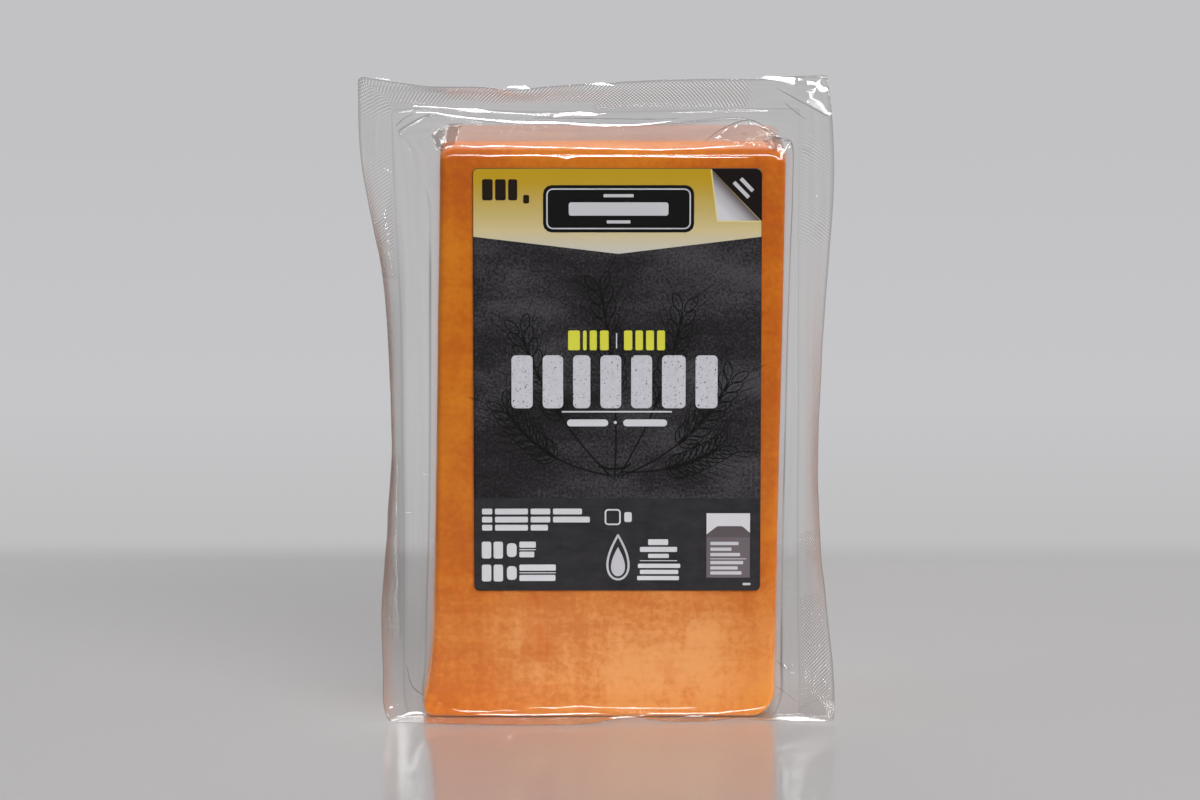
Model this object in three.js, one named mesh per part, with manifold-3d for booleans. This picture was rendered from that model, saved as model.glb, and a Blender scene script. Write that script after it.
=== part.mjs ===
// A bar of mild cheddar sealed in a clear vacuum pack, standing on its short end, with its printed label.
// Millimetres. +X is right, +Y runs away from the label, +Z is up.
// The origin is on the table, under the middle of the bar.
import * as THREE from 'three';
import { mergeVertices } from 'three/addons/utils/BufferGeometryUtils.js';
import Module from 'manifold-3d';

const wasm = await Module();
wasm.setup();

// The bar of cheese: a 540 g cut, with its cling film pulled tight.
const barWidth = 87.4;
const barHeight = 146.0;
const barDepth = 39.2;
const barLean = 0.017;
const barEdge = 1.4;
const cornerTopLeft = 2.8;
const cornerTopRight = 4.5;
const cornerBottomRight = 6.0;
const toeReach = 2.6;
const toeHeight = 9;
const topRise = 1.0;
const frontY = -barDepth / 2;

// The printed label on the front face.
const labelWidth = 73.1;
const labelHeight = 109.2;
const labelThickness = 0.3;
const labelCorner = 1.3;
const labelCentreX = 2.9;
const labelBottom = 33.5;

// The flange: two webs of film sealed together all round the bar.
const flangeThickness = 0.8;
const sealWidth = 9;
const webRows = 2;
const bandRows = 4;
const bandSoftness = 3.5;
const sideSteps = 34;
const topSteps = 30;
const bottomSteps = 26;

// Where the flange runs, seen from the front. A station is [along, rootOut, rootY, bandOut, bandY, curl]:
// `along` is z on the sides and x on the top, `rootOut` is where the film leaves the bar, `bandOut` is where
// the seal band starts, both as x on the sides and z on the top, and `curl` is how many degrees the band
// turns forward from flat.
const leftStations = [
  [4.8, -46.8, -18.8, -51.6, -20.6, 56],
  [13.7, -46.2, -17.4, -51.9, -18.6, 55],
  [28.7, -45.9, -15.2, -51.9, -15.8, 53],
  [48, -45.2, -13.3, -51.9, -13.5, 64],
  [74.5, -44.8, -12.8, -52.1, -12.9, 74],
  [101, -44.6, -12.8, -52.2, -12.9, 70],
  [120, -44.5, -12.8, -53.0, -12.9, 62],
  [134, -44.9, -12.8, -53.7, -12.9, 43],
  [145.4, -49.3, -12.8, -54.0, -12.9, 26],
];
const topStations = [
  [-44, 154.9, -12.8, 156.9, -12.9, 44],
  [-32, 153.7, -12.8, 156.3, -12.9, 42],
  [-24, 153.0, -12.8, 155.9, -12.9, 45],
  [-14, 152.8, -12.8, 155.8, -12.9, 37],
  [4, 152.1, -12.8, 156.0, -12.9, 26],
  [20, 152.4, -12.8, 156.2, -12.9, 21],
  [36, 153.0, -12.8, 156.6, -12.9, 23],
];
const rightStations = [
  [148.5, 46.8, -12.8, 49.2, -12.9, 20],
  [136.5, 47.4, -12.8, 49.0, -12.9, 14],
  [120.6, 46.9, -12.8, 49.0, -12.9, 32],
  [100.6, 46.3, -12.8, 49.1, -12.9, 47],
  [74.4, 45.8, -12.8, 49.2, -12.9, 58],
  [52, 45.4, -13.1, 49.2, -13.3, 57],
  [31.6, 45.1, -15.0, 49.3, -15.5, 41],
  [15.6, 45.0, -17.2, 49.6, -18.4, 20],
  [5.7, 45.0, -18.8, 49.9, -20.2, 14],
];
// The bottom flange lies on the table in front of the bar. A station is [x, rootY, bandY, edgeY].
const bottomStations = [
  [34, -17.0, -19.0, -22.6],
  [20, -17.0, -18.5, -25.4],
  [5, -17.0, -19.0, -23.6],
  [-8, -17.0, -20.5, -29.4],
  [-30, -17.0, -20.5, -29.2],
  [-42, -17.0, -20.5, -28.8],
];
// The four corners of the sheet: root, band start and edge, each [x, y, z].
const cornerPoints = {
  topLeft: [[-53.0, -12.8, 151.0], [-54.2, -12.9, 156.6], [-62.7, -14.2, 165.1]],
  topRight: [[44.6, -12.8, 148.6], [49.0, -12.9, 156.9], [56.6, -14.4, 165.6]],
  bottomRight: [[43.5, -18.4, 0.4], [49.6, -20.4, 0.6], [58.4, -25.0, 0.4]],
  bottomLeft: [[-44.5, -18.4, 0.4], [-50.6, -21.0, 0.6], [-55.6, -26.2, 0.4]],
};

// The vacuum leaves a thin tent of film between the bar and the flange.
const tentFrontInset = 0.9;
const tentBackTop = 11;
const tentBackSide = 5;
const flangeSink = 0.06;

function toManifold(geometry) {
  const bare = geometry.clone();
  bare.deleteAttribute('normal');
  bare.deleteAttribute('uv');
  const merged = mergeVertices(bare, 1e-4);
  return new wasm.Manifold(new wasm.Mesh({
    numProp: 3,
    vertProperties: new Float32Array(merged.attributes.position.array),
    triVerts: new Uint32Array(merged.index.array),
  }));
}

function toGeometry(solid) {
  const mesh = solid.getMesh();
  const geometry = new THREE.BufferGeometry();
  geometry.setAttribute('position', new THREE.BufferAttribute(mesh.vertProperties, 3));
  geometry.setIndex(new THREE.BufferAttribute(mesh.triVerts, 1));
  return geometry;
}

// A closed tube of quads through rings of points: rings[i][j] joins rings[i + 1][j + 1], round in both i and j.
function ringSolid(rings) {
  const around = rings[0].length;
  const positions = rings.flat().flatMap((p) => [p.x, p.y, p.z]);
  const index = [];
  rings.forEach((ring, i) => {
    const next = (i + 1) % rings.length;
    for (let j = 0; j < around; j += 1) {
      const k = (j + 1) % around;
      const a = i * around + j;
      const b = next * around + j;
      const c = next * around + k;
      const d = i * around + k;
      index.push(a, b, c, a, c, d);
    }
  });
  const geometry = new THREE.BufferGeometry();
  geometry.setAttribute('position', new THREE.Float32BufferAttribute(positions, 3));
  geometry.setIndex(index);
  return geometry;
}

function roundedOutline() {
  const half = barWidth / 2;
  const top = barHeight;
  const leanAt = (z) => barLean * (z - barHeight / 2);
  const left = (z) => -half + leanAt(z) + 0.6;
  const right = (z) => half + leanAt(z) + 0.6;
  const shape = new THREE.Shape();
  shape.moveTo(right(0) - cornerBottomRight, 0);
  shape.quadraticCurveTo(right(0) - 0.6, 0.4, right(0), cornerBottomRight);
  shape.lineTo(right(top), top - cornerTopRight);
  shape.quadraticCurveTo(right(top), top, right(top) - cornerTopRight, top);
  shape.lineTo(left(top) + cornerTopLeft, top);
  shape.quadraticCurveTo(left(top), top, left(top), top - cornerTopLeft);
  shape.lineTo(left(toeHeight * 2), toeHeight * 2);
  shape.quadraticCurveTo(left(toeHeight), toeHeight, left(0) - toeReach + 0.8, 3.6);
  shape.quadraticCurveTo(left(0) - toeReach, 0, left(0) + 1.6, 0);
  return shape;
}

// The bar with its clinging film: a leaning rounded slab whose top face rises a little towards the back.
function barSolid() {
  const geometry = new THREE.ExtrudeGeometry(roundedOutline(), {
    depth: barDepth - 2 * barEdge,
    bevelEnabled: true,
    bevelThickness: barEdge,
    bevelSize: barEdge,
    bevelOffset: -barEdge,
    bevelSegments: 3,
    curveSegments: 6,
  });
  geometry.rotateX(Math.PI / 2);
  geometry.translate(0, barDepth / 2 - barEdge, 0);
  const position = geometry.attributes.position;
  for (let i = 0; i < position.count; i += 1) {
    const z = position.getZ(i);
    const back = (position.getY(i) - frontY) / barDepth;
    position.setZ(i, z * (1 + (topRise / barHeight) * back));
  }
  return toManifold(geometry);
}

function sideLines(stations, sign) {
  const lines = { root: [], band: [], edge: [] };
  for (const [z, rootX, rootY, bandX, bandY, curl] of stations) {
    const turn = THREE.MathUtils.degToRad(curl);
    lines.root.push([rootX, rootY, z]);
    lines.band.push([bandX, bandY, z]);
    lines.edge.push([bandX + sign * sealWidth * Math.cos(turn), bandY - sealWidth * Math.sin(turn), z]);
  }
  return lines;
}

function topLines() {
  const lines = { root: [], band: [], edge: [] };
  for (const [x, rootZ, rootY, bandZ, bandY, curl] of topStations) {
    const turn = THREE.MathUtils.degToRad(curl);
    lines.root.push([x, rootY, rootZ]);
    lines.band.push([x, bandY, bandZ]);
    lines.edge.push([x, bandY - sealWidth * Math.sin(turn), bandZ + sealWidth * Math.cos(turn)]);
  }
  return lines;
}

function bottomLines() {
  const lines = { root: [], band: [], edge: [] };
  for (const [x, rootY, bandY, edgeY] of bottomStations) {
    lines.root.push([x, rootY, flangeThickness / 2]);
    lines.band.push([x, bandY, flangeThickness / 2]);
    lines.edge.push([x, edgeY, flangeThickness / 2]);
  }
  return lines;
}

// One side of the sheet as three smooth lines from corner to corner, sampled at matching steps.
function sampleSide(lines, from, to, steps) {
  const sampled = {};
  ['root', 'band', 'edge'].forEach((key, row) => {
    const points = [cornerPoints[from][row], ...lines[key], cornerPoints[to][row]];
    const curve = new THREE.CatmullRomCurve3(points.map((p) => new THREE.Vector3(...p)), false, 'centripetal');
    sampled[key] = curve.getSpacedPoints(steps).slice(0, steps);
  });
  return sampled;
}

// The whole loop, clockwise from the bottom left corner as seen from the front.
function flangeLoop() {
  const sides = [
    sampleSide(sideLines(leftStations, -1), 'bottomLeft', 'topLeft', sideSteps),
    sampleSide(topLines(), 'topLeft', 'topRight', topSteps),
    sampleSide(sideLines(rightStations, 1), 'topRight', 'bottomRight', sideSteps),
    sampleSide(bottomLines(), 'bottomRight', 'bottomLeft', bottomSteps),
  ];
  return {
    root: sides.flatMap((side) => side.root),
    band: sides.flatMap((side) => side.band),
    edge: sides.flatMap((side) => side.edge),
  };
}

// The points of the sheet's middle surface at one step of the loop, from inside the bar out to the free edge.
function sheetRow(root, band, edge) {
  const outward = band.clone().sub(root).normalize();
  const barCentre = new THREE.Vector3(0, root.y, barHeight / 2);
  const row = [root.clone().lerp(barCentre, flangeSink)];
  for (let i = 0; i < webRows; i += 1) {
    row.push(root.clone().lerp(band, i / webRows));
  }
  const soft = band.clone().addScaledVector(outward, bandSoftness);
  const bend = new THREE.QuadraticBezierCurve3(band, soft, edge);
  row.push(...bend.getPoints(bandRows));
  return row;
}

// The flange as one thin ring: each row of the middle surface is offset to both faces along its normal.
function flangeSolid(loop) {
  const rows = loop.root.map((root, i) => sheetRow(root, loop.band[i], loop.edge[i]));
  const count = rows.length;
  const rings = rows.map((row, i) => {
    const before = rows[(i + count - 1) % count];
    const after = rows[(i + 1) % count];
    const front = [];
    const back = [];
    row.forEach((point, j) => {
      const along = after[j].clone().sub(before[j]);
      const across = row[Math.min(j + 1, row.length - 1)].clone().sub(row[Math.max(j - 1, 0)]);
      const normal = along.cross(across).normalize().multiplyScalar(flangeThickness / 2);
      front.push(point.clone().add(normal));
      back.push(point.clone().sub(normal));
    });
    const ring = [...front, ...back.reverse()];
    ring.forEach((point) => point.setZ(Math.max(point.z, 0)));
    return ring;
  });
  return toManifold(ringSolid(rings));
}

// The tent: a ring of three-cornered section from the bar's front edge over the flange root to the bar's side.
function tentSolid(loop) {
  const halfTop = barWidth / 2 - 2.5;
  const rings = loop.root.map((root) => {
    const inside = new THREE.Vector3(
      THREE.MathUtils.clamp(root.x, -halfTop, halfTop),
      0,
      THREE.MathUtils.clamp(root.z, 2.5, barHeight - 2.2),
    );
    const up = THREE.MathUtils.clamp((root.z - barHeight) / 6, 0, 1);
    const reach = THREE.MathUtils.lerp(tentBackSide, tentBackTop, up);
    const front = inside.clone().setY(frontY + tentFrontInset);
    const back = inside.clone().setY(Math.max(root.y, frontY + 3) + reach);
    const apex = root.clone();
    apex.y = Math.max(apex.y, frontY + tentFrontInset + 0.2);
    apex.z = Math.max(apex.z, 0.4);
    return [front, apex, back];
  });
  return toManifold(ringSolid(rings));
}

// Bar, tent and flange as one body, without the pinholes that can be left where their faces meet.
function packSolid() {
  const loop = flangeLoop();
  const shells = barSolid().add(tentSolid(loop)).add(flangeSolid(loop)).decompose();
  return toGeometry(shells.reduce((most, shell) => (shell.volume() > most.volume() ? shell : most)));
}

function labelGeometry() {
  const w = labelWidth / 2;
  const h = labelHeight / 2;
  const shape = new THREE.Shape();
  shape.absarc(w - labelCorner, h - labelCorner, labelCorner, 0, Math.PI / 2);
  shape.absarc(-w + labelCorner, h - labelCorner, labelCorner, Math.PI / 2, Math.PI);
  shape.absarc(-w + labelCorner, -h + labelCorner, labelCorner, Math.PI, Math.PI * 1.5);
  shape.absarc(w - labelCorner, -h + labelCorner, labelCorner, Math.PI * 1.5, Math.PI * 2);
  const geometry = new THREE.ExtrudeGeometry(shape, { depth: labelThickness, bevelEnabled: false, curveSegments: 5 });
  geometry.rotateX(Math.PI / 2);
  return geometry;
}

const cheddarOrange = new THREE.MeshStandardMaterial({ color: 0xcf7526, roughness: 0.25, metalness: 0 });
const labelSlate = new THREE.MeshStandardMaterial({ color: 0x242325, roughness: 0.35, metalness: 0 });

const pack = new THREE.Mesh(packSolid(), cheddarOrange);
pack.name = 'sealed_cheddar';

const label = new THREE.Mesh(labelGeometry(), labelSlate);
label.name = 'label';
label.position.set(labelCentreX, frontY, labelBottom + labelHeight / 2);

const cheddarPack = new THREE.Group();
cheddarPack.add(pack, label);

export default cheddarPack;
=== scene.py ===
import math

import bpy
import numpy as np
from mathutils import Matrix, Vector
from mathutils.geometry import delaunay_2d_cdt
from mathutils.kdtree import KDTree


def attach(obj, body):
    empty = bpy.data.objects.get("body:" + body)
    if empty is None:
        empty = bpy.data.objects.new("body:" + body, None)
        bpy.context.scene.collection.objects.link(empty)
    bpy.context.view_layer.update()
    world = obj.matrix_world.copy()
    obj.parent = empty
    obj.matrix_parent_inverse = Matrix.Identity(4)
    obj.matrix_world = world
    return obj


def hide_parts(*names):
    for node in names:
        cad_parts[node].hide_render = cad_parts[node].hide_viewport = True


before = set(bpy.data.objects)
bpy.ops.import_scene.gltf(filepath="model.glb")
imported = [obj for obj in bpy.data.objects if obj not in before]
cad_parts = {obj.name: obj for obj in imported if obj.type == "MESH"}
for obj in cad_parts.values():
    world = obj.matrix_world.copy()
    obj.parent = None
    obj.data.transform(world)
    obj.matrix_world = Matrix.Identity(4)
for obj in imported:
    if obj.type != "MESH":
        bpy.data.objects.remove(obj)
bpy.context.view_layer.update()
print("frame loaded")


# small helpers

def smoothStep(value, low, high):
    t = np.clip((np.asarray(value, float) - low) / (high - low), 0, 1)
    return t * t * (3 - 2 * t)


def ripple(points, size, seed):
    # smooth noise from -1 to 1, with a hill or hollow about every `size`
    lattice = np.random.default_rng(seed).uniform(-1, 1, (32, 32, 32))
    grid = np.asarray(points, float) / size + 200.0
    cell = np.floor(grid).astype(int)
    part = grid - cell
    part = part ** 3 * (part * (part * 6 - 15) + 10)
    total = np.zeros(grid.shape[:-1])
    for corner in np.ndindex(2, 2, 2):
        weight = np.prod(np.where(corner, part, 1 - part), axis=-1)
        at = (cell + corner) % 32
        total += weight * lattice[at[..., 0], at[..., 1], at[..., 2]]
    return total


def unit(vectors):
    return vectors / np.maximum(np.linalg.norm(vectors, axis=-1, keepdims=True), 1e-9)


def smoothLine(points, count):
    # a centripetal spline through the points, as `count` evenly spaced ones without the last
    p = np.array(points, float)
    p = np.vstack([2 * p[0] - p[1], p, 2 * p[-1] - p[-2]])
    dense = []
    for i in range(1, len(p) - 2):
        p0, p1, p2, p3 = p[i - 1:i + 3]
        t0 = 0.0
        t1 = t0 + math.sqrt(np.linalg.norm(p1 - p0))
        t2 = t1 + math.sqrt(np.linalg.norm(p2 - p1))
        t3 = t2 + math.sqrt(np.linalg.norm(p3 - p2))
        t = np.linspace(t1, t2, 40, endpoint=False)[:, None]
        a1 = (t1 - t) / (t1 - t0) * p0 + (t - t0) / (t1 - t0) * p1
        a2 = (t2 - t) / (t2 - t1) * p1 + (t - t1) / (t2 - t1) * p2
        a3 = (t3 - t) / (t3 - t2) * p2 + (t - t2) / (t3 - t2) * p3
        b1 = (t2 - t) / (t2 - t0) * a1 + (t - t0) / (t2 - t0) * a2
        b2 = (t3 - t) / (t3 - t1) * a2 + (t - t1) / (t3 - t1) * a3
        dense.append((t2 - t) / (t2 - t1) * b1 + (t - t1) / (t2 - t1) * b2)
    line = np.vstack(dense + [p[-2]])
    run = np.concatenate([[0], np.cumsum(np.linalg.norm(np.diff(line, axis=0), axis=1))])
    at = np.linspace(0, run[-1], count + 1)[:-1]
    return np.stack([np.interp(at, run, line[:, k]) for k in range(3)], axis=1)


def linear(red, green, blue):
    # a screen colour from 0 to 255 as Blender's linear colour
    parts = []
    for value in (red, green, blue):
        c = value / 255
        parts.append(c / 12.92 if c <= 0.04045 else ((c + 0.055) / 1.055) ** 2.4)
    return (*parts, 1.0)


def makeMesh(name, points, faces, materials, smooth=True):
    # points in millimetres
    mesh = bpy.data.meshes.new(name)
    mesh.from_pydata((np.asarray(points) / 1000).tolist(), [], faces)
    mesh.polygons.foreach_set("use_smooth", [smooth] * len(mesh.polygons))
    for material in materials:
        mesh.materials.append(material)
    mesh.update()
    piece = bpy.data.objects.new(name, mesh)
    bpy.context.scene.collection.objects.link(piece)
    return piece


def ringFaces(rows, around, start=0):
    # quads between rows of a closed loop of points
    i, j = np.meshgrid(np.arange(rows - 1), np.arange(around), indexing="ij")
    k = (j + 1) % around
    quads = np.stack([i * around + j, (i + 1) * around + j, (i + 1) * around + k, i * around + k], axis=-1)
    return (quads.reshape(-1, 4) + start).tolist()


def newMaterial(name):
    material = bpy.data.materials.new(name)
    material.use_nodes = True
    tree = material.node_tree
    return material, tree.nodes, tree.links, tree.nodes["Principled BSDF"]


def addNode(nodes, kind, **settings):
    node = nodes.new(kind)
    for key, value in settings.items():
        if key in node.inputs:
            node.inputs[key].default_value = value
        else:
            setattr(node, key, value)
    return node


def rampNode(nodes, stops):
    ramp = nodes.new("ShaderNodeValToRGB")
    while len(ramp.color_ramp.elements) < len(stops):
        ramp.color_ramp.elements.new(0.5)
    for element, (place, colour) in zip(ramp.color_ramp.elements, stops):
        element.position = place
        element.color = colour
    return ramp


def calculator(nodes, links):
    # a short way to add math nodes to one tree: numbers are set and sockets are linked
    def calc(operation, first, second=0.0):
        node = addNode(nodes, "ShaderNodeMath", operation=operation)
        for socket, value in zip(node.inputs, (first, second)):
            if isinstance(value, (int, float)):
                socket.default_value = value
            else:
                links.new(value, socket)
        return node.outputs[0]

    return calc


def rangeNode(nodes, low, high, toLow=0.0, toHigh=1.0, kind="SMOOTHSTEP"):
    node = addNode(nodes, "ShaderNodeMapRange", interpolation_type=kind)
    for key, value in zip(("From Min", "From Max", "To Min", "To Max"), (low, high, toLow, toHigh)):
        node.inputs[key].default_value = value
    return node


def bumpNode(nodes, links, height, strength, distance):
    # relief in a material, `distance` metres high
    bump = addNode(nodes, "ShaderNodeBump", Strength=strength, Distance=distance)
    links.new(height, bump.inputs["Height"])
    return bump


# the bar

bar = {
    "width": 87.4,
    "height": 147.5,
    "depth": 39.2,
    "lean": 0.017,
    "shift": 0.6,
    "foot": 0.1,
    "footLift": 0.15,  # the flange under the front edge lifts it
    "topRise": 1.0,
    "edge": 1.6,
    "edgeTop": 2.7,
    "edgeFoot": 0.35,
    "cornerTopLeft": 2.8,
    "cornerTopRight": 4.6,
    "cornerBottomRight": 6.2,
    "cornerBottomLeft": 5.0,
    "toe": 4.2,
    "toeFade": 6.5,
}
frontY = -bar["depth"] / 2
backY = bar["depth"] / 2


def leanAt(z):
    return bar["lean"] * (z - bar["height"] / 2) + bar["shift"]


def barEdge(x, z):
    # the nearest point of the bar's outline, seen from the front, and the way out of it
    half, low, high = bar["width"] / 2, bar["foot"], bar["height"]
    u = x - leanAt(z)
    right, up = u > 0, z > high / 2
    upper = np.where(right, bar["cornerTopRight"], bar["cornerTopLeft"])
    lower = np.where(right, bar["cornerBottomRight"], bar["cornerBottomLeft"])
    r = np.where(up, upper, lower)
    cu = np.clip(u, -half + r, half - r)
    cz = np.clip(z, low + r, high - r)
    reach = np.maximum(np.hypot(u - cu, z - cz), 1e-6)
    nu, nz = (u - cu) / reach, (z - cz) / reach
    pu, pz = cu + r * nu, cz + r * nz
    toe = bar["toe"] * np.exp(-pz / bar["toeFade"]) + 0.35 * np.exp(-pz / 15)
    px = pu + leanAt(pz) - toe * smoothStep(-pu, 20, half)
    return px, pz, nu, nz


def edgeAt(up):
    # the radius of the rounded edge, where `up` is how far the outline faces upwards
    wider = (bar["edgeTop"] - bar["edge"]) * smoothStep(up, 0.2, 0.95)
    return bar["edge"] + wider - (bar["edge"] - bar["edgeFoot"]) * smoothStep(-up, 0.2, 0.95)


def settle(points):
    # the top face rises towards the back, and the foot stands on the flange at the front
    back = np.clip((points[..., 1] - frontY) / bar["depth"], 0, 1)
    level = points[..., 2] / bar["height"]
    points[..., 2] += bar["topRise"] * level * back + bar["footLift"] * (1 - back) * (1 - level)
    return points


def broadRelief(points):
    return 0.13 * ripple(points, 34, 3) + 0.07 * ripple(points, 13, 4)


def barRelief(points):
    # how far the cheese stands in or out: broad waves and curd
    return broadRelief(points) + 0.03 * ripple(points, 4.5, 5) + 0.015 * ripple(points, 1.8, 6)


def barRings(outline, gap, capRows, edgeRows, wallRows):
    # rows of points over the whole bar, from the middle of the front round to the middle of the back
    px, pz, nx, nz = outline
    e = edgeAt(nz)
    centre = np.array([0.0, bar["height"] / 2])
    rows, facing = [], []
    inX, inZ = px - e * nx, pz - e * nz

    def capRow(t, y, way):
        x, z = inX * t + centre[0] * (1 - t), inZ * t + centre[1] * (1 - t)
        rows.append(np.stack([x, np.full_like(px, y), z], -1))
        facing.append(np.tile([0.0, way, 0.0], (len(px), 1)))

    def edgeRow(turn, y):
        out = -e + e * math.sin(turn)
        rows.append(np.stack([px + nx * out, y, pz + nz * out], -1))
        facing.append(np.stack([nx * math.sin(turn), np.full_like(px, -math.cos(turn)), nz * math.sin(turn)], -1))

    for t in np.linspace(0, 1, capRows + 1)[1:]:
        capRow(t ** 0.9, frontY, -1.0)
    for turn in np.linspace(0, math.pi / 2, edgeRows + 1)[1:]:
        edgeRow(turn, frontY + e * (1 - math.cos(turn)))
    for y in np.linspace(frontY + e, backY - e, wallRows + 1)[1:]:
        rows.append(np.stack([px, y, pz], -1))
        facing.append(np.stack([nx, np.zeros_like(px), nz], -1))
    for turn in np.linspace(math.pi / 2, math.pi, edgeRows + 1)[1:]:
        edgeRow(turn, backY - e + e * -math.cos(turn))
    for t in np.linspace(1, 0, capRows + 1)[1:-1]:
        capRow(t ** 0.9, backY, 1.0)
    rows, facing = settle(np.array(rows)), np.array(facing)
    return rows + facing * (gap + barRelief(rows))[..., None]


def evenOutline(count):
    # the bar's outline at even steps, clockwise from the foot as seen from the front
    half, high = bar["width"] / 2, bar["height"]
    loop = [(-half - 9, -9), (-half - 9, high + 9), (half + 9, high + 9), (half + 9, -9), (-half - 9, -9)]
    xs, zs = [], []
    for (x0, z0), (x1, z1) in zip(loop, loop[1:]):
        t = np.linspace(0, 1, 1500, endpoint=False)
        xs.append(x0 + (x1 - x0) * t)
        zs.append(z0 + (z1 - z0) * t)
    px, pz, _, _ = barEdge(np.concatenate(xs), np.concatenate(zs))
    px, pz = np.append(px, px[0]), np.append(pz, pz[0])
    run = np.concatenate([[0], np.cumsum(np.hypot(np.diff(px), np.diff(pz)))])
    at = np.linspace(0, run[-1], count, endpoint=False)
    x, z = np.interp(at, run, px), np.interp(at, run, pz)
    alongX, alongZ = np.roll(x, -1) - np.roll(x, 1), np.roll(z, -1) - np.roll(z, 1)
    size = np.hypot(alongX, alongZ)
    return x, z, -alongZ / size, alongX / size


def closeEnds(rings):
    # the points and faces of a form closed at both ends by a fan
    count, around = rings.shape[:2]
    first, last = rings[0].mean(axis=0), rings[-1].mean(axis=0)
    first[1], last[1] = rings[0][:, 1].mean(), rings[-1][:, 1].mean()
    points = np.vstack([rings.reshape(-1, 3), first, last])
    faces = ringFaces(count, around)
    a, b, top = count * around, count * around + 1, (count - 1) * around
    faces += [(a, j, (j + 1) % around) for j in range(around)]
    faces += [(b, top + (j + 1) % around, top + j) for j in range(around)]
    return points, faces


cheeseLook = {
    "deep": linear(192, 94, 2),
    "mid": linear(205, 111, 3),
    "pale": linear(216, 128, 12),
    "low": linear(233, 171, 112),  # paler and hazier towards the foot
    "spot": linear(196, 90, 2),
    "roughness": 0.5,
    "gloss": 0.1,
    "hazeFrom": (0.046, 0.022),  # heights in metres between which the haze of the foot sets in
    "veilFrom": (0.105, 0.05),  # and a fainter one above it
    "footClear": (0.001, 0.011),  # the last part down is clearer again
    "middle": 0.003,
    "sides": (0.040, 0.020),
    "haze": 0.8,
    "veil": 0.06,
    "spots": 0.4,
    "under": 0.15,  # how much light goes in under the surface, how far in metres, and its share of red, green, blue
    "underDepth": 0.0025,
    "underParts": (1.0, 0.35, 0.1),
    "lift": 0.24,  # the film under the foot
    "points": 620,
    "rows": (34, 6, 30),  # over a face, an edge and the wall
}


def cheeseMaterial():
    material, nodes, links, shader = newMaterial("cheddar")
    calc = calculator(nodes, links)
    place = addNode(nodes, "ShaderNodeTexCoord")

    def stretched(scale, x, z, detail, roughness=0.6):
        turn = addNode(nodes, "ShaderNodeMapping", Scale=(x, 1.0, z))
        noise = addNode(nodes, "ShaderNodeTexNoise", Scale=scale, Detail=detail, Roughness=roughness)
        links.new(place.outputs["Object"], turn.inputs["Vector"])
        links.new(turn.outputs[0], noise.inputs["Vector"])
        return noise.outputs["Fac"]

    def eased(value, low, high):
        node = rangeNode(nodes, low, high)
        links.new(value, node.inputs["Value"])
        return node.outputs["Result"]

    def mixed(factor, first, second):
        node = addNode(nodes, "ShaderNodeMix", data_type="RGBA")
        links.new(factor, node.inputs["Factor"])
        links.new(first, node.inputs["A"])
        node.inputs["B"].default_value = second
        return node.outputs["Result"]

    broad = stretched(34.0, 1.0, 1.0, 3.0, 0.55)
    upright = stretched(210.0, 1.0, 0.16, 3.0)
    level = stretched(260.0, 0.12, 1.0, 3.0)
    fine = stretched(620.0, 1.0, 1.0, 3.0)
    streaks = calc("ADD", calc("MULTIPLY", upright, 0.5), calc("MULTIPLY", level, 0.5))
    grain = calc("ADD", calc("MULTIPLY", fine, 0.4), calc("MULTIPLY", streaks, 0.6))
    tone = calc("ADD", calc("MULTIPLY", broad, 0.45), calc("MULTIPLY", grain, 0.55))
    ramp = rampNode(nodes, [(0.42, cheeseLook["deep"]), (0.51, cheeseLook["mid"]), (0.61, cheeseLook["pale"])])
    links.new(tone, ramp.inputs["Fac"])
    split = addNode(nodes, "ShaderNodeSeparateXYZ")
    links.new(place.outputs["Object"], split.inputs[0])
    up = split.outputs["Z"]
    foot = calc("ADD", calc("MULTIPLY", eased(up, *cheeseLook["footClear"]), 0.4), 0.6)
    low = calc("MULTIPLY", eased(up, *cheeseLook["hazeFrom"]), foot)
    aside = calc("ABSOLUTE", calc("SUBTRACT", split.outputs["X"], cheeseLook["middle"]))
    inner = calc("ADD", calc("MULTIPLY", eased(aside, *cheeseLook["sides"]), 0.5), 0.5)
    cloud = calc("ADD", calc("MULTIPLY", eased(tone, 0.43, 0.58), 0.5), 0.42)
    haze = calc("MULTIPLY", calc("MULTIPLY", low, inner), cloud)
    veil = calc("MULTIPLY", eased(up, *cheeseLook["veilFrom"]), cheeseLook["veil"])
    haze = calc("MAXIMUM", calc("MULTIPLY", haze, cheeseLook["haze"]), veil)
    colour = mixed(haze, ramp.outputs["Color"], cheeseLook["low"])
    spots = eased(stretched(75.0, 1.0, 0.6, 2.0, 0.4), 0.62, 0.74)
    colour = mixed(calc("MULTIPLY", spots, cheeseLook["spots"]), colour, cheeseLook["spot"])
    links.new(colour, shader.inputs["Base Color"])
    bump = bumpNode(nodes, links, calc("ADD", calc("MULTIPLY", fine, 0.4), streaks), 0.3, 0.0003)
    links.new(bump.outputs["Normal"], shader.inputs["Normal"])
    shader.inputs["Roughness"].default_value = cheeseLook["roughness"]
    shader.inputs["Specular IOR Level"].default_value = cheeseLook["gloss"]
    shader.inputs["Subsurface Weight"].default_value = cheeseLook["under"]
    shader.inputs["Subsurface Radius"].default_value = cheeseLook["underParts"]
    shader.inputs["Subsurface Scale"].default_value = cheeseLook["underDepth"]
    return material


rings = barRings(evenOutline(cheeseLook["points"]), 0.0, *cheeseLook["rows"])
rings[..., 2] = np.maximum(rings[..., 2], cheeseLook["lift"])
cheeseBar = makeMesh("cheeseBar", *closeEnds(rings), [cheeseMaterial()])
print("bar of cheese made")

# the two webs of film

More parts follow.
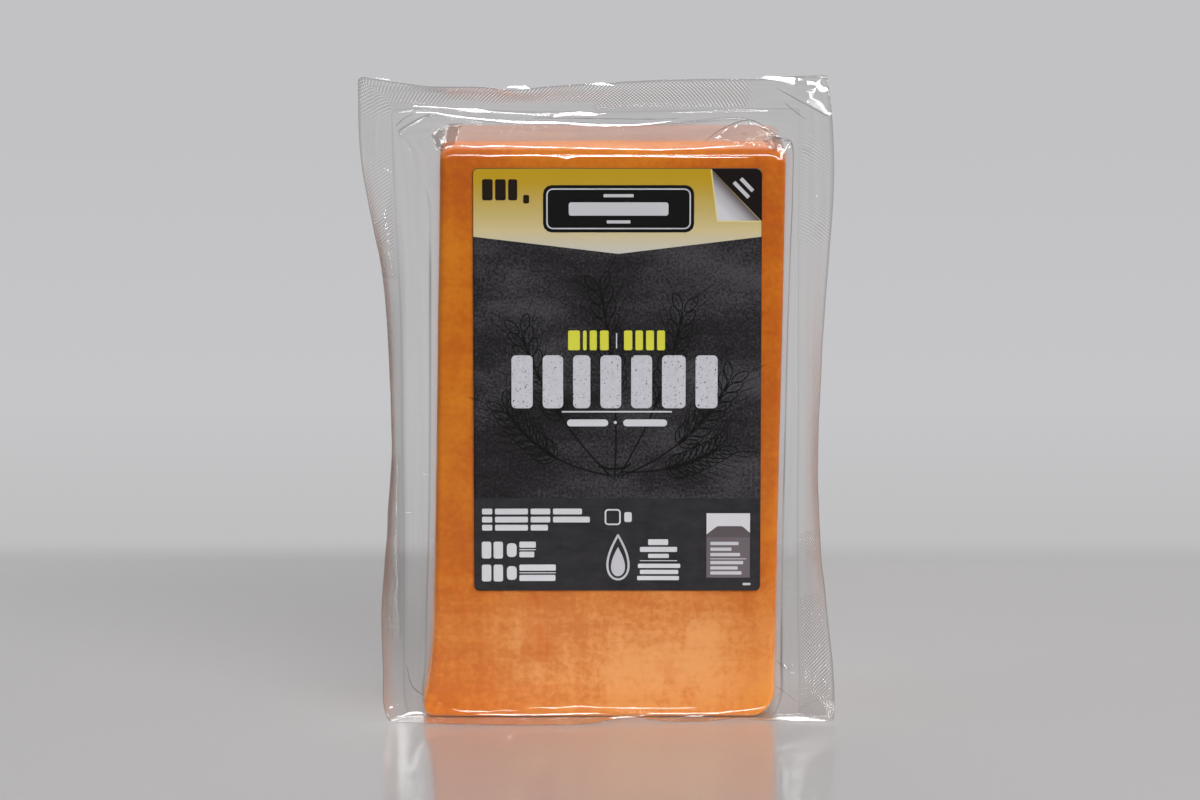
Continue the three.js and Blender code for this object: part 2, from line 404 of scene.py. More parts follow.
flange = {
    "seal": 9.0,
    "sheetGap": 0.07,  # half of what parts the two webs
    "clingGap": 0.1,
    "tentBackTop": 4.5,
    "tentBackSide": 5.0,
    "rootBend": 1.3,
    "softness": 3.5,
    "rolls": [(-43, 11, 0.34), (-8, 5.5, 0.42), (30, 14, 0.2)],  # x, width and height of the swells along the top
    "sag": 0.018,  # how far the tent hangs in, and its gathers, in parts of its span
    "gather": 0.012,
    "steps": {"left": 270, "top": 220, "right": 270, "bottom": 200},
}
# A station is [along, rootOut, rootY, bandOut, bandY, curl]: `along` is z on the sides and x on the top,
# the next are where the film leaves the bar and where the seal starts, and `curl` is the seal's forward turn.
leftStations = [
    [4.8, -46.8, -18.8, -51.6, -20.6, 56],
    [13.7, -46.2, -17.4, -51.9, -18.6, 55],
    [28.7, -45.9, -15.2, -51.9, -15.8, 53],
    [48, -45.2, -13.3, -51.9, -13.5, 64],
    [74.5, -44.8, -12.8, -52.1, -12.9, 74],
    [101, -44.6, -12.8, -52.2, -12.9, 70],
    [120, -44.5, -12.8, -53.0, -12.9, 62],
    [134, -44.9, -12.8, -53.7, -12.9, 43],
    [145.4, -49.3, -12.8, -54.0, -12.9, 26],
]
topStations = [
    [-44, 155.4, -12.8, 157.0, -12.9, 44],
    [-32, 154.2, -12.8, 156.5, -12.9, 42],
    [-24, 153.5, -12.8, 156.1, -12.9, 45],
    [-14, 153.3, -12.8, 156.0, -12.9, 37],
    [4, 152.6, -12.8, 156.1, -12.9, 26],
    [20, 153.4, -12.8, 156.4, -12.9, 21],
    [36, 153.9, -12.8, 156.8, -12.9, 23],
]
rightStations = [
    [148.5, 46.8, -12.8, 49.2, -12.9, 20],
    [136.5, 47.4, -12.8, 49.0, -12.9, 14],
    [120.6, 46.9, -12.8, 49.0, -12.9, 32],
    [100.6, 46.3, -12.8, 49.1, -12.9, 47],
    [74.4, 45.8, -12.8, 49.2, -12.9, 58],
    [52, 45.4, -13.1, 49.2, -13.3, 57],
    [31.6, 45.1, -15.0, 49.3, -15.5, 41],
    [15.6, 45.0, -17.2, 49.6, -18.4, 20],
    [5.7, 45.0, -18.8, 49.9, -20.2, 14],
]
# On the table: [x, rootY, bandY, edgeY, edgeZ]. The flange comes out from under the bar.
bottomStations = [
    [40, -14.6, -18.5, -23.8, 0.3],
    [34, -13.2, -18.0, -23.6, 0.9],
    [27, -13.0, -18.0, -25.0, 0.4],
    [17, -13.0, -18.0, -25.4, 0.3],
    [5, -13.0, -18.0, -24.6, 1.2],
    [-4, -13.0, -18.5, -28.0, 0.5],
    [-16, -13.0, -18.5, -29.0, 0.25],
    [-30, -13.2, -18.5, -28.9, 0.3],
    [-40, -14.8, -19.0, -28.8, 0.5],
]
cornerPoints = {
    "topLeft": [[-53.0, -12.8, 151.0], [-54.2, -12.9, 156.6], [-62.7, -14.2, 165.1]],
    "topRight": [[44.6, -12.8, 148.6], [49.0, -12.9, 156.9], [56.6, -14.4, 165.6]],
    "bottomRight": [[43.5, -17.4, 0.3], [49.6, -20.4, 0.6], [58.4, -25.0, 0.4]],
    "bottomLeft": [[-44.5, -17.4, 0.3], [-50.6, -21.0, 0.6], [-55.6, -26.2, 0.5]],
}


def stationLines(name):
    lines = [[], [], []]
    if name == "bottom":
        for x, rootY, bandY, edgeY, edgeZ in bottomStations:
            lines[0].append([x, rootY, 0.28])
            lines[1].append([x, bandY, 0.25])
            lines[2].append([x, edgeY, edgeZ])
        return lines
    stations = {"left": leftStations, "top": topStations, "right": rightStations}[name]
    for along, rootOut, rootY, bandOut, bandY, curl in stations:
        out = flange["seal"] * math.cos(math.radians(curl))
        forward = flange["seal"] * math.sin(math.radians(curl))
        if name == "top":
            lines[0].append([along, rootY, rootOut])
            lines[1].append([along, bandY, bandOut])
            lines[2].append([along, bandY - forward, bandOut + out])
        else:
            side = -1 if name == "left" else 1
            lines[0].append([rootOut, rootY, along])
            lines[1].append([bandOut, bandY, along])
            lines[2].append([bandOut + side * out, bandY - forward, along])
    return lines


def flangeLines():
    # root, band start and free edge all round, clockwise from the bottom left as seen from the front
    corners = {
        "left": ("bottomLeft", "topLeft"),
        "top": ("topLeft", "topRight"),
        "right": ("topRight", "bottomRight"),
        "bottom": ("bottomRight", "bottomLeft"),
    }
    joined = [[], [], []]
    for name, (begin, end) in corners.items():
        lines = stationLines(name)
        for row in range(3):
            points = [cornerPoints[begin][row], *lines[row], cornerPoints[end][row]]
            joined[row].append(smoothLine(points, flange["steps"][name]))
    return [np.vstack(parts) for parts in joined]


def blurAround(values, width):
    # evens out a row of values round the loop
    kernel = np.hanning(2 * width + 3)[1:-1]
    kernel /= kernel.sum()
    padded = np.concatenate([values[-width:], values, values[:width]], axis=0)
    if values.ndim == 1:
        return np.convolve(padded, kernel, mode="valid")
    return np.stack([np.convolve(padded[:, k], kernel, mode="valid") for k in range(values.shape[1])], axis=1)


webShares = np.concatenate([[0.0], np.linspace(0.1, 0.93, 11)])
bandShares = np.concatenate([np.linspace(0, 0.965, 23), [1.0]])


def middleSheet(root, band, edge):
    # the flange's middle surface, from where the film leaves the bar out to the free edge
    rows = [root + (band - root) * t for t in webShares]
    soft = band + unit(band - root) * flange["softness"]
    rows += [band * (1 - t) ** 2 + soft * 2 * t * (1 - t) + edge * t * t for t in bandShares]
    return np.array(rows)


def sheetNormals(sheet):
    along = np.roll(sheet, -1, axis=1) - np.roll(sheet, 1, axis=1)
    across = np.gradient(sheet, axis=0)
    return unit(np.cross(along, across))


def flutter(sheet):
    # the flange's own waves, still at the root and free at the edge
    free = np.concatenate([webShares * 0.35, 0.35 + 0.65 * bandShares])[:, None]
    wave = 0.34 * ripple(sheet, 17, 21) + 0.12 * ripple(sheet, 7, 22) + 0.03 * ripple(sheet, 2.6, 23)
    low = smoothStep(sheet[..., 2], 0.5, 14)
    return wave * free * (0.12 + 0.88 * low)


peel = {
    "from": (39.9, 164.4),
    "to": (56.5, 153.7),
    "tip": 30.0,  # degrees that the corner tips back
    "bend": 3.2,
    "more": 0.022,  # and how much further it turns with each millimetre
    "stretch": 1.1,
}


def tipBack(sheet):
    # the loose top right corner bends back over a line
    along = np.subtract(peel["to"], peel["from"]) / math.dist(peel["to"], peel["from"])
    out = np.array([-along[1], along[0]])
    past = np.maximum((sheet[..., 0] - peel["from"][0]) * out[0] + (sheet[..., 2] - peel["from"][1]) * out[1], 0)
    steps = np.linspace(0, 16, 321)
    turn = math.radians(peel["tip"]) * smoothStep(steps, 0, peel["bend"]) + peel["more"] * steps
    forward = np.interp(past, steps, np.cumsum(np.cos(turn)) * 0.05) * peel["stretch"]
    move = np.where(past > 0, np.clip(forward - past, -0.1 * past, 0), 0)
    bent = sheet.copy()
    bent[..., 0] += move * out[0]
    bent[..., 2] += move * out[1]
    bent[..., 1] += np.interp(past, steps, np.cumsum(np.sin(turn)) * 0.05)
    return bent


def curlEdge(sheet):
    # short stretches of the top edge that bend back
    x = sheet[-1, :, 0]
    amount = np.exp(-((x + 54) / 4) ** 2) + np.exp(-((x + 21) / 3.4) ** 2) + 0.8 * np.exp(-((x + 3) / 3) ** 2) + 0.4
    amount *= smoothStep(sheet[-1, :, 2], 156, 160)
    shares = np.concatenate([np.zeros(len(webShares)), bandShares])[:, None]
    past = np.maximum(shares * flange["seal"] - 6.9, 0)
    curled = sheet.copy()
    curled[..., 1] += 0.2 * amount * past ** 2
    return curled


def ridges(points, lines):
    # how high the film stands over a set of fine folds, each [x0, z0, x1, z1, width, height]
    total = np.zeros(points.shape[:-1])
    for x0, z0, x1, z1, width, high in lines:
        way = np.array([x1 - x0, z1 - z0])
        length = np.linalg.norm(way)
        dx, dz = points[..., 0] - x0, points[..., 2] - z0
        t = (dx * way[0] + dz * way[1]) / length ** 2
        off = (dx * way[1] - dz * way[0]) / length
        ends = smoothStep(t, -0.12, 0.25) * smoothStep(t, 1.12, 0.75)
        total += high * np.exp(-(off / width) ** 2) * ends
    return total


root, band, edge = [blurAround(line, 3) for line in flangeLines()]
outX, outZ, outNX, outNZ = barEdge(root[:, 0], root[:, 2])
outward = blurAround(np.stack([outNX, outNZ], axis=1), 2)
outward /= np.linalg.norm(outward, axis=1, keepdims=True)
outEdge = edgeAt(outward[:, 1])
middle = middleSheet(root, band, edge)
facing = sheetNormals(middle)
middle = tipBack(curlEdge(middle + facing * flutter(middle)[..., None]))
middle[..., 2] = np.maximum(middle[..., 2], 0.2)
facing = sheetNormals(middle)
around = len(root)


def atOutline(out, y, gapOut):
    # a point `out` beyond the bar's outline at depth y
    points = np.stack([outX + outward[:, 0] * out, np.zeros(around) + y, outZ + outward[:, 1] * out], axis=1)
    return settle(points) + gapOut


def tangentTurn(target, edgeY, side):
    # how far the film wraps the rounded edge before it leaves for its root
    e = outEdge + flange["clingGap"]
    reach = (target[:, 0] - outX) * outward[:, 0] + (target[:, 2] - outZ) * outward[:, 1]
    across, back = reach + outEdge, side * (target[:, 1] - edgeY) - outEdge
    away = np.maximum(np.hypot(across, back), e + 0.05)
    angle = np.arctan2(back, across) - np.arccos(e / away)
    return np.clip(angle + math.pi / 2, 0.15, math.pi / 2)


wrinkles = {
    # [x0, z0, x1, z1, width, height] in the film over the cheese, in the flange, and where the corners gather
    "front": [
        [-25.9, 7.4, -23.3, 1.2, 0.42, 0.32], [-24.4, 8.2, -21.6, 1.2, 0.42, 0.36],
         [-29.5, 6.2, -24.8, 1.6, 0.6, 0.26],
        [-43.2, 6.0, -39.2, 1.0, 0.55, 0.42], [-44.4, 9.0, -42.4, 3.0, 0.5, 0.36],
         [-41.0, 7.2, -37.5, 1.6, 0.5, 0.3],
        [24.4, 5.0, 21.8, 2.4, 0.5, 0.3], [25.6, 5.8, 23.4, 1.8, 0.5, 0.3], [-37.0, 2.7, -22.0, 2.4, 0.4, 0.28],
        [-20.6, 2.3, -11.5, 3.2, 0.4, 0.26], [-12.0, 3.2, -4.0, 2.6, 0.36, 0.22], [27.0, 2.9, 40.0, 5.0, 0.5, 0.24],
        [2.0, 2.6, 19.0, 2.9, 0.36, 0.2], [-34.0, 4.6, -30.5, 2.2, 0.5, 0.22],
    ],
    "flange": [
        [45.0, 157.9, 51.1, 153.4, 0.35, 0.3], [46.5, 161.2, 56.0, 154.6, 0.45, 0.3],
         [48.0, 162.6, 54.5, 158.2, 0.4, 0.22],
        [43.6, 15.7, 47.2, 13.4, 0.35, 0.32], [47.0, 13.3, 49.4, 13.9, 0.35, 0.3],
         [43.7, 8.2, 49.1, 5.6, 0.4, 0.34],
        [45.5, 11.0, 48.8, 9.4, 0.4, 0.22], [-50.5, 14.0, -47.4, 5.0, 0.5, 0.3],
         [-48.8, 9.0, -46.4, 4.4, 0.5, 0.34],
        [-51.6, 40.0, -47.8, 14.0, 0.7, 0.3], [-60.5, 163.5, -57.0, 157.0, 0.5, 0.25],
    ],
    "gather": [
        [-45.6, 146.6, -43.6, 145.2, 0.3, 0.4], [-45.4, 143.8, -43.9, 142.7, 0.3, 0.4],
         [-45.4, 141.4, -44.0, 140.2, 0.3, 0.35],
        [-46.6, 155.0, -40.6, 147.2, 0.4, 0.45], [-44.0, 154.2, -40.0, 149.0, 0.3, 0.25],
         [-38.4, 153.6, -36.4, 148.0, 0.5, 0.28],
        [-41.5, 148.6, -33.0, 148.0, 0.35, 0.2], [31.0, 152.6, 25.6, 148.2, 0.4, 0.2],
         [36.4, 153.0, 33.0, 148.4, 0.5, 0.25],
        [34.0, 149.2, 42.6, 147.0, 0.4, 0.3], [42.6, 151.4, 37.2, 149.6, 0.35, 0.25],
         [44.4, 149.0, 42.0, 145.4, 0.45, 0.4],
    ],
}


def clingRows(y, shares):
    # rows over a flat face, from its middle to the start of the rounded edge; curd shows only where rows are close
    rows = []
    way = np.array([0, -1.0 if y < 0 else 1.0, 0])
    inner = np.stack([outX - outward[:, 0] * outEdge, outZ - outward[:, 1] * outEdge], axis=1)
    for t in shares:
        x = inner[:, 0] * t
        z = inner[:, 1] * t + bar["height"] / 2 * (1 - t)
        row = settle(np.stack([x, np.full(around, y), z], axis=1))
        close = smoothStep(t, 0.93, 0.98)
        lift = flange["clingGap"] + broadRelief(row) + (barRelief(row) - broadRelief(row)) * close
        if y < 0:
            lift = lift + 0.6 * ridges(row, wrinkles["front"]) * smoothStep(t, 0.91, 0.95)
        rows.append(row + way * lift[:, None])
    return rows


def wrapRows(turns, y0, side):
    # rows round the bar's front or back rounded edge; `turns` is one array of angles for each row
    rows = []
    for turn in turns:
        out = -outEdge + outEdge * np.sin(turn)
        y = y0 + side * outEdge * (1 - np.cos(turn))
        row = atOutline(out, y, 0)
        way = np.stack([outward[:, 0] * np.sin(turn), -side * np.cos(turn), outward[:, 1] * np.sin(turn)], axis=1)
        lift = flange["clingGap"] + barRelief(row)
        if side > 0:
            lift = lift + 0.6 * ridges(row, wrinkles["front"]) * np.cos(turn)
        rows.append(row + way * lift[:, None])
    return rows


def bendRows(before, corner, after, count):
    # a soft bend past a corner point
    rows = []
    for t in np.linspace(0, 1, count):
        rows.append(before * (1 - t) ** 2 + corner * 2 * t * (1 - t) + after * t * t)
    return rows


# rows over the front face stand closer towards its edge
faceShares = np.concatenate([np.linspace(a, b, n)[1:] for a, b, n in ((0, 0.9, 10), (0.9, 0.955, 6), (0.955, 1, 16))])


def lidRows():
    # all rows of the front web, with the numbers of its root row and of the row where the seal starts
    gap = flange["sheetGap"]
    sheet = middle + facing * gap
    # a soft roll in the web just outside its root, higher in a few places along the top
    x = root[:, 0]
    top = smoothStep(root[:, 2], 149, 152)
    rolls = sum(high * np.exp(-((x - at) / wide) ** 2) for at, wide, high in flange["rolls"])
    swell = 0.15 + top * (0.1 + rolls)
    swell *= smoothStep(root[:, 2], 3, 14)
    shares = np.concatenate([webShares, np.ones(len(bandShares))])[:, None]
    roll = swell * np.exp(-((shares - 0.72) / 0.15) ** 2)
    roll = roll + ridges(sheet, wrinkles["flange"])
    sheet = sheet + facing * roll[..., None]
    # the fold of film that stands in front of the bar's foot
    foot = smoothStep(-root[:, 2], -3, -1)
    fold = (0.6 + 0.25 * ripple(sheet, 9, 41)) * np.exp(-((sheet[..., 1] + 20.7) / 0.55) ** 2) * foot
    sheet[..., 2] += np.maximum(fold, 0)
    rows = clingRows(frontY, faceShares)
    turn = tangentTurn(sheet[0], frontY, 1)
    rows += wrapRows([turn * t for t in np.linspace(0.15, 1, 8)], frontY, 1)
    start, rootPoint = rows[-1], sheet[0]
    span = np.linalg.norm(rootPoint - start, axis=1, keepdims=True)
    bend = np.minimum(flange["rootBend"] / span, 0.3)
    inward = -np.stack([outward[:, 0], -0.6 * np.ones(around), outward[:, 1]], axis=1)
    inward /= np.linalg.norm(inward, axis=1, keepdims=True)
    for t in np.linspace(0, 1, 13)[1:]:
        share = t * (1 - bend)
        row = start * (1 - share) + rootPoint * share
        sag = flange["sag"] * span * np.sin(math.pi * share)
        gather = flange["gather"] * span * ripple(rootPoint, 5.5, 31)[:, None] * np.sin(math.pi * share)
        crumple = ridges(row, wrinkles["gather"])[:, None] * np.sin(math.pi * np.clip(share * 1.1, 0, 1)) ** 0.5
        rows.append(row + inward * (sag + gather) - inward * crumple)
    rootRow = len(rows) + 2
    rows += bendRows(rows[-1], rootPoint, sheet[1], 6)[1:-1]
    rows += list(sheet[1:])
    bandRow = len(rows) - len(bandShares)
    rows.append(middle[-1] - facing[-1] * gap)
    rows = np.array(rows)
    rows[..., 2] = np.maximum(rows[..., 2], 0.16)
    return rows, rootRow, bandRow


def pocketRows():
    gap = flange["sheetGap"]
    sheet = middle - facing * gap
    rows = clingRows(backY, np.linspace(0, 1, 14)[1:])
    rows += wrapRows([np.full(around, t) for t in np.linspace(0.2, math.pi / 2, 7)], backY, -1)
    rootPoint = sheet[0]
    up = smoothStep(rootPoint[:, 2], bar["height"], bar["height"] + 6)
    leave = rootPoint[:, 1] + flange["tentBackSide"] + (flange["tentBackTop"] - flange["tentBackSide"]) * up
    for t in np.linspace(0, 1, 12)[1:]:
        y = (backY - outEdge) * (1 - t) + leave * t
        row = atOutline(np.zeros(around), y, 0)
        way = np.stack([outward[:, 0], np.zeros(around), outward[:, 1]], axis=1)
        rows.append(row + way * (flange["clingGap"] + barRelief(row))[:, None])
    start = rows[-1]
    turnPoint = start * 0.45 + rootPoint * 0.55
    way = np.stack([outward[:, 0], np.zeros(around), outward[:, 1]], axis=1)
    lean = np.sum((turnPoint - start) * way, axis=1, keepdims=True)
    turnPoint = turnPoint - way * lean * 0.75
    rows += bendRows(start, turnPoint, rootPoint + (start - rootPoint) * 0.06, 11)[1:]
    rootRow = len(rows) + 1
    rows += bendRows(rows[-1], rootPoint, sheet[1], 5)[1:-1]
    rows += list(sheet[1:])
    bandRow = len(rows) - len(bandShares)
    rows = np.array(rows)
    rows[..., 2] = np.maximum(rows[..., 2], 0.03)
    return rows, rootRow, bandRow


film = {
    "clear": (0.975, 0.967, 0.962),
    "gloss": 0.035,
    "straight": 0.014,  # what the film mirrors where it is seen straight on
    "slant": 3.3,
    "knurlPitch": 0.9,
    "knurlShade": 0.26,
    "streakShade": 0.07,
    "foldShade": 0.5,
    "rumple": 0.55,  # small dents in the film over the back and the sides
    "rumpleScale": 170.0,
}


def mirrorMix(nodes, links, clear, shine, straight):
    # film mirrors `straight` of the light where it is seen straight on, and more at a slant
    weight = addNode(nodes, "ShaderNodeLayerWeight", Blend=0.5)
    slant = addNode(nodes, "ShaderNodeMath", operation="POWER")
    slant.inputs[1].default_value = film["slant"]
    mirror = rangeNode(nodes, 0.0, 1.0, straight, 1.0, "LINEAR")
    mix = addNode(nodes, "ShaderNodeMixShader")
    links.new(weight.outputs["Facing"], slant.inputs[0])
    links.new(slant.outputs[0], mirror.inputs["Value"])
    links.new(mirror.outputs["Result"], mix.inputs["Fac"])
    links.new(clear.outputs[0], mix.inputs[1])
    links.new(shine.outputs[0], mix.inputs[2])
    links.new(mix.outputs[0], nodes["Material Output"].inputs["Surface"])


def filmMaterial(name, clearness=1.0, rumple=0.0):
    # clear film with a pressed diamond grid in the seal, faint painted streaks of shade for its changing reflections,
    # darker folds and painted shade on the left band
    material, nodes, links, shader = newMaterial(name)
    calc = calculator(nodes, links)
    nodes.remove(shader)
    grid = addNode(nodes, "ShaderNodeAttribute", attribute_name="seal")
    foldAndShade = addNode(nodes, "ShaderNodeAttribute", attribute_name="foldAndShade")
    split = addNode(nodes, "ShaderNodeSeparateXYZ")
    links.new(grid.outputs["Vector"], split.inputs[0])
    u, v, strength = split.outputs
    turn = 2 * math.pi * 10 / film["knurlPitch"]
    along = calc("SINE", calc("MULTIPLY", u, turn))
    across = calc("SINE", calc("MULTIPLY", v, turn))
    diamonds = calc("MULTIPLY", calc("MULTIPLY", along, across), strength)
    squash = addNode(nodes, "ShaderNodeMapping", Scale=(0.25, 5.0, 0.0))
    # painted shade: streaks along the bands darken the see-through colour, standing in for reflections that change over
    # the fluttering film
    paintedStreaks = addNode(nodes, "ShaderNodeTexNoise", Scale=1.0, Detail=3.0, Roughness=0.55)
    links.new(grid.outputs["Vector"], squash.inputs["Vector"])
    links.new(squash.outputs[0], paintedStreaks.inputs["Vector"])
    level = calc("SUBTRACT", 1.0, calc("MULTIPLY", paintedStreaks.outputs["Fac"], film["streakShade"]))
    level = calc("SUBTRACT", level, calc("MULTIPLY", diamonds, film["knurlShade"]))
    level = calc("MULTIPLY", level, calc("SUBTRACT", 1.0, calc("MULTIPLY", foldAndShade.outputs["Fac"], film["foldShade"])))
    tint = addNode(nodes, "ShaderNodeVectorMath", operation="SCALE")
    tint.inputs[0].default_value = [1 - (1 - part) * clearness for part in film["clear"]]
    links.new(level, tint.inputs["Scale"])
    clear = addNode(nodes, "ShaderNodeBsdfTransparent")
    links.new(tint.outputs[0], clear.inputs["Color"])
    shine = addNode(nodes, "ShaderNodeBsdfGlossy", Color=(1, 1, 1, 1), Roughness=film["gloss"])
    bump = bumpNode(nodes, links, diamonds, 0.5, 0.0001)
    if rumple:
        # small dents, not on what faces up
        place = addNode(nodes, "ShaderNodeTexCoord")
        dents = addNode(nodes, "ShaderNodeTexNoise", Scale=film["rumpleScale"], Detail=2.0, Roughness=0.45)
        dents.inputs["Distortion"].default_value = 1.2
        soft = bumpNode(nodes, links, dents.outputs["Fac"], 1.0, 0.002)
        lie = addNode(nodes, "ShaderNodeNewGeometry")
        parts = addNode(nodes, "ShaderNodeSeparateXYZ")
        depth = rangeNode(nodes, 0.05, 0.45, rumple, 0.0)
        links.new(lie.outputs["Normal"], parts.inputs[0])
        links.new(parts.outputs["Z"], depth.inputs["Value"])
        links.new(depth.outputs["Result"], soft.inputs["Strength"])
        links.new(place.outputs["Object"], dents.inputs["Vector"])
        links.new(soft.outputs["Normal"], bump.inputs["Normal"])
    links.new(bump.outputs["Normal"], shine.inputs["Normal"])
    mirrorMix(nodes, links, clear, shine, film["straight"])
    return material


aroundLength = np.concatenate([[0], np.cumsum(np.linalg.norm(np.diff(band, axis=0), axis=1))])


def knurlStrength(points):
    # the diamond grid shows in patches, most of all along the top and in the lower right corner
    x, z = points[..., 0], points[..., 2]
    patches = smoothStep(ripple(points, 26, 51) + 0.5 * ripple(points, 9, 52), -0.35, 0.55)
    strong = np.maximum(smoothStep(z, 154, 157) * smoothStep(x, 38, 33), smoothStep(x, 44, 50) * smoothStep(z, 32, 8))
    strong = np.maximum(strong, np.exp(-((x - 50.5) / 4) ** 2 - ((z - 146.5) / 3) ** 2))
    bare = smoothStep(x, -42, -36) * smoothStep(x, 0, -5) * smoothStep(z, 159.4, 158)
    bare = np.clip(bare + smoothStep(x, 34, 39) * smoothStep(z, 148, 151), 0, 1)
    return np.clip(0.1 + 0.45 * patches + 0.6 * strong * (0.55 + 0.45 * patches), 0, 1) * (1 - 0.85 * bare)


def runAcross(rows):
    # how far each point is from the first row, measured over the sheet
    steps = np.linalg.norm(np.diff(rows, axis=0), axis=2)
    return np.concatenate([np.zeros((1, rows.shape[1])), np.cumsum(steps, axis=0)])


def openSheet(name, rows, rootRow, bandRow, material, flip):
    count = rows.shape[0]
    centre = rows[0].mean(axis=0)
    points = np.vstack([rows.reshape(-1, 3), centre])
    faces = ringFaces(count, around)
    pole = count * around
    faces += [(pole, j, (j + 1) % around) for j in range(around)]
    if flip:
        faces = [face[::-1] for face in faces]
    piece = makeMesh(name, points, faces, [material])
    # how far along and across the seal each point is, how strong its grid is, where the film is folded, and where
    # painted shade darkens the left band
    run = runAcross(rows)
    across = run - run[bandRow]
    strength = knurlStrength(rows) * smoothStep(across, 0.7, 1.5) * smoothStep(run[-1] - run, 0.2, 0.8)
    strength[:, [0, -1]] = 0
    seal = np.stack([np.tile(aroundLength, (count, 1)) / 10, across / 10, strength], axis=-1)
    fromRoot = np.abs(run - run[rootRow])
    rootX, rootZ = rows[rootRow, :, 0], rows[rootRow, :, 2]
    gone = smoothStep(-rootX, 40, 44) * smoothStep(rootZ, 132, 138) * smoothStep(rootZ, 152, 149)
    foldAndShade = (0.42 + 0.35 * ripple(rows, 16, 61)) * np.exp(-(fromRoot / 0.3) ** 2) * (1 - gone)
    foldAndShade = foldAndShade + 0.14 * np.exp(-(across / 0.25) ** 2)
    x, z = rows[..., 0], rows[..., 2]
    # painted shade: the left band is darker from low down to above its middle
    leftBandShade = smoothStep(x, -50.5, -52.5) * smoothStep(z, 8, 40) * smoothStep(z, 135, 95) * (across > -1.5)
    foldAndShade = foldAndShade + 0.26 * leftBandShade
    foldAndShade[-2:] = 0.32
    extra = {"seal": ("FLOAT_VECTOR", "vector", np.vstack([seal.reshape(-1, 3), [0, -5, 0]]))}
    extra["foldAndShade"] = ("FLOAT", "value", np.append(np.clip(foldAndShade, 0, 1).ravel(), 0))
    for key, (kind, field, values) in extra.items():
        layer = piece.data.attributes.new(key, kind, "POINT")
        layer.data.foreach_set(field, np.asarray(values, np.float32).ravel())
    return piece


lid, lidRoot, lidBand = lidRows()
lidFilm = openSheet("lidFilm", lid, lidRoot, lidBand, filmMaterial("lidFilm"), False)
pocket, pocketRoot, pocketBand = pocketRows()
rumpled = filmMaterial("pocketFilm", rumple=film["rumple"])
pocketFilm = openSheet("pocketFilm", pocket, pocketRoot, pocketBand, rumpled, True)
print("film made")

# small pressed bumps in the seal, set out on a diamond lattice
knurl = {
    "pitch": 0.9,
    "bumpRadius": 0.27,
    "bumpTop": 0.1,
    "bumpHeight": 0.1,
    "sides": 5,
    "inner": 0.9,
    "outer": 8.4,
    "least": 0.42,
}


def knurlPlaces():
    # where the bumps stand on the front web, and which way they face
    grid = lid[lidBand:-1]
    along = np.append(aroundLength, aroundLength[-1] + np.linalg.norm(band[0] - band[-1]))
    closed = np.concatenate([grid, grid[:, :1]], axis=1)
    run = runAcross(closed)
    normals = unit(np.cross(np.gradient(closed, axis=1), np.gradient(closed, axis=0)))
    width = run[-1].mean()
    places, ways = [], []
    for k, v in enumerate(np.arange(knurl["inner"], min(knurl["outer"], width - 0.4), knurl["pitch"] / 2)):
        us = np.arange((k % 2) * knurl["pitch"] / 2, along[-1] - knurl["pitch"] / 2, knurl["pitch"])
        column = np.interp(us, along, np.arange(len(along)))
        i = np.minimum(column.astype(int), len(along) - 2)
        f = (column - i)[:, None]
        j = np.clip(v / width * (len(grid) - 1), 0, len(grid) - 1.001)
        j0, g = int(j), j - int(j)
        for values, store in ((closed, places), (normals, ways)):
            near = values[j0, i] * (1 - f) + values[j0, i + 1] * f
            far = values[j0 + 1, i] * (1 - f) + values[j0 + 1, i + 1] * f
            store.append(near * (1 - g) + far * g)
    places, ways = np.vstack(places), unit(np.vstack(ways))
    keep = (knurlStrength(places) > knurl["least"]) & (places[:, 2] > 1.2)
    return places[keep], ways[keep]


def knurlTree(material):
    tree = bpy.data.node_groups.new("sealKnurl", "GeometryNodeTree")
    tree.interface.new_socket("Geometry", in_out="INPUT", socket_type="NodeSocketGeometry")
    sizes = {}
    for title, key in (("Bump Radius", "bumpRadius"), ("Bump Top", "bumpTop"), ("Bump Height", "bumpHeight")):
        sizes[key] = tree.interface.new_socket(title, in_out="INPUT", socket_type="NodeSocketFloat")
    tree.interface.new_socket("Geometry", in_out="OUTPUT", socket_type="NodeSocketGeometry")
    nodes, links = tree.nodes, tree.links
    entry, leave = nodes.new("NodeGroupInput"), nodes.new("NodeGroupOutput")
    bumpShape = nodes.new("GeometryNodeMeshCone")
    bumpShape.fill_type = "TRIANGLE_FAN"
    bumpShape.inputs["Vertices"].default_value = knurl["sides"]
    bumpShape.inputs["Side Segments"].default_value = 1
    links.new(entry.outputs["Bump Radius"], bumpShape.inputs["Radius Bottom"])
    links.new(entry.outputs["Bump Top"], bumpShape.inputs["Radius Top"])
    links.new(entry.outputs["Bump Height"], bumpShape.inputs["Depth"])
    facingWay = nodes.new("GeometryNodeInputNamedAttribute")
    facingWay.data_type = "FLOAT_VECTOR"
    facingWay.inputs["Name"].default_value = "facing"
    stand = nodes.new("FunctionNodeAlignRotationToVector")
    stand.axis = "Z"
    spread = nodes.new("GeometryNodeInstanceOnPoints")
    real = nodes.new("GeometryNodeRealizeInstances")
    finish = nodes.new("GeometryNodeSetMaterial")
    finish.inputs["Material"].default_value = material
    links.new(facingWay.outputs["Attribute"], stand.inputs["Vector"])
    links.new(entry.outputs["Geometry"], spread.inputs["Points"])
    links.new(bumpShape.outputs["Mesh"], spread.inputs["Instance"])
    links.new(stand.outputs["Rotation"], spread.inputs["Rotation"])
    links.new(spread.outputs["Instances"], real.inputs["Geometry"])
    links.new(real.outputs["Geometry"], finish.inputs["Geometry"])
    links.new(finish.outputs["Geometry"], leave.inputs["Geometry"])
    return tree, sizes


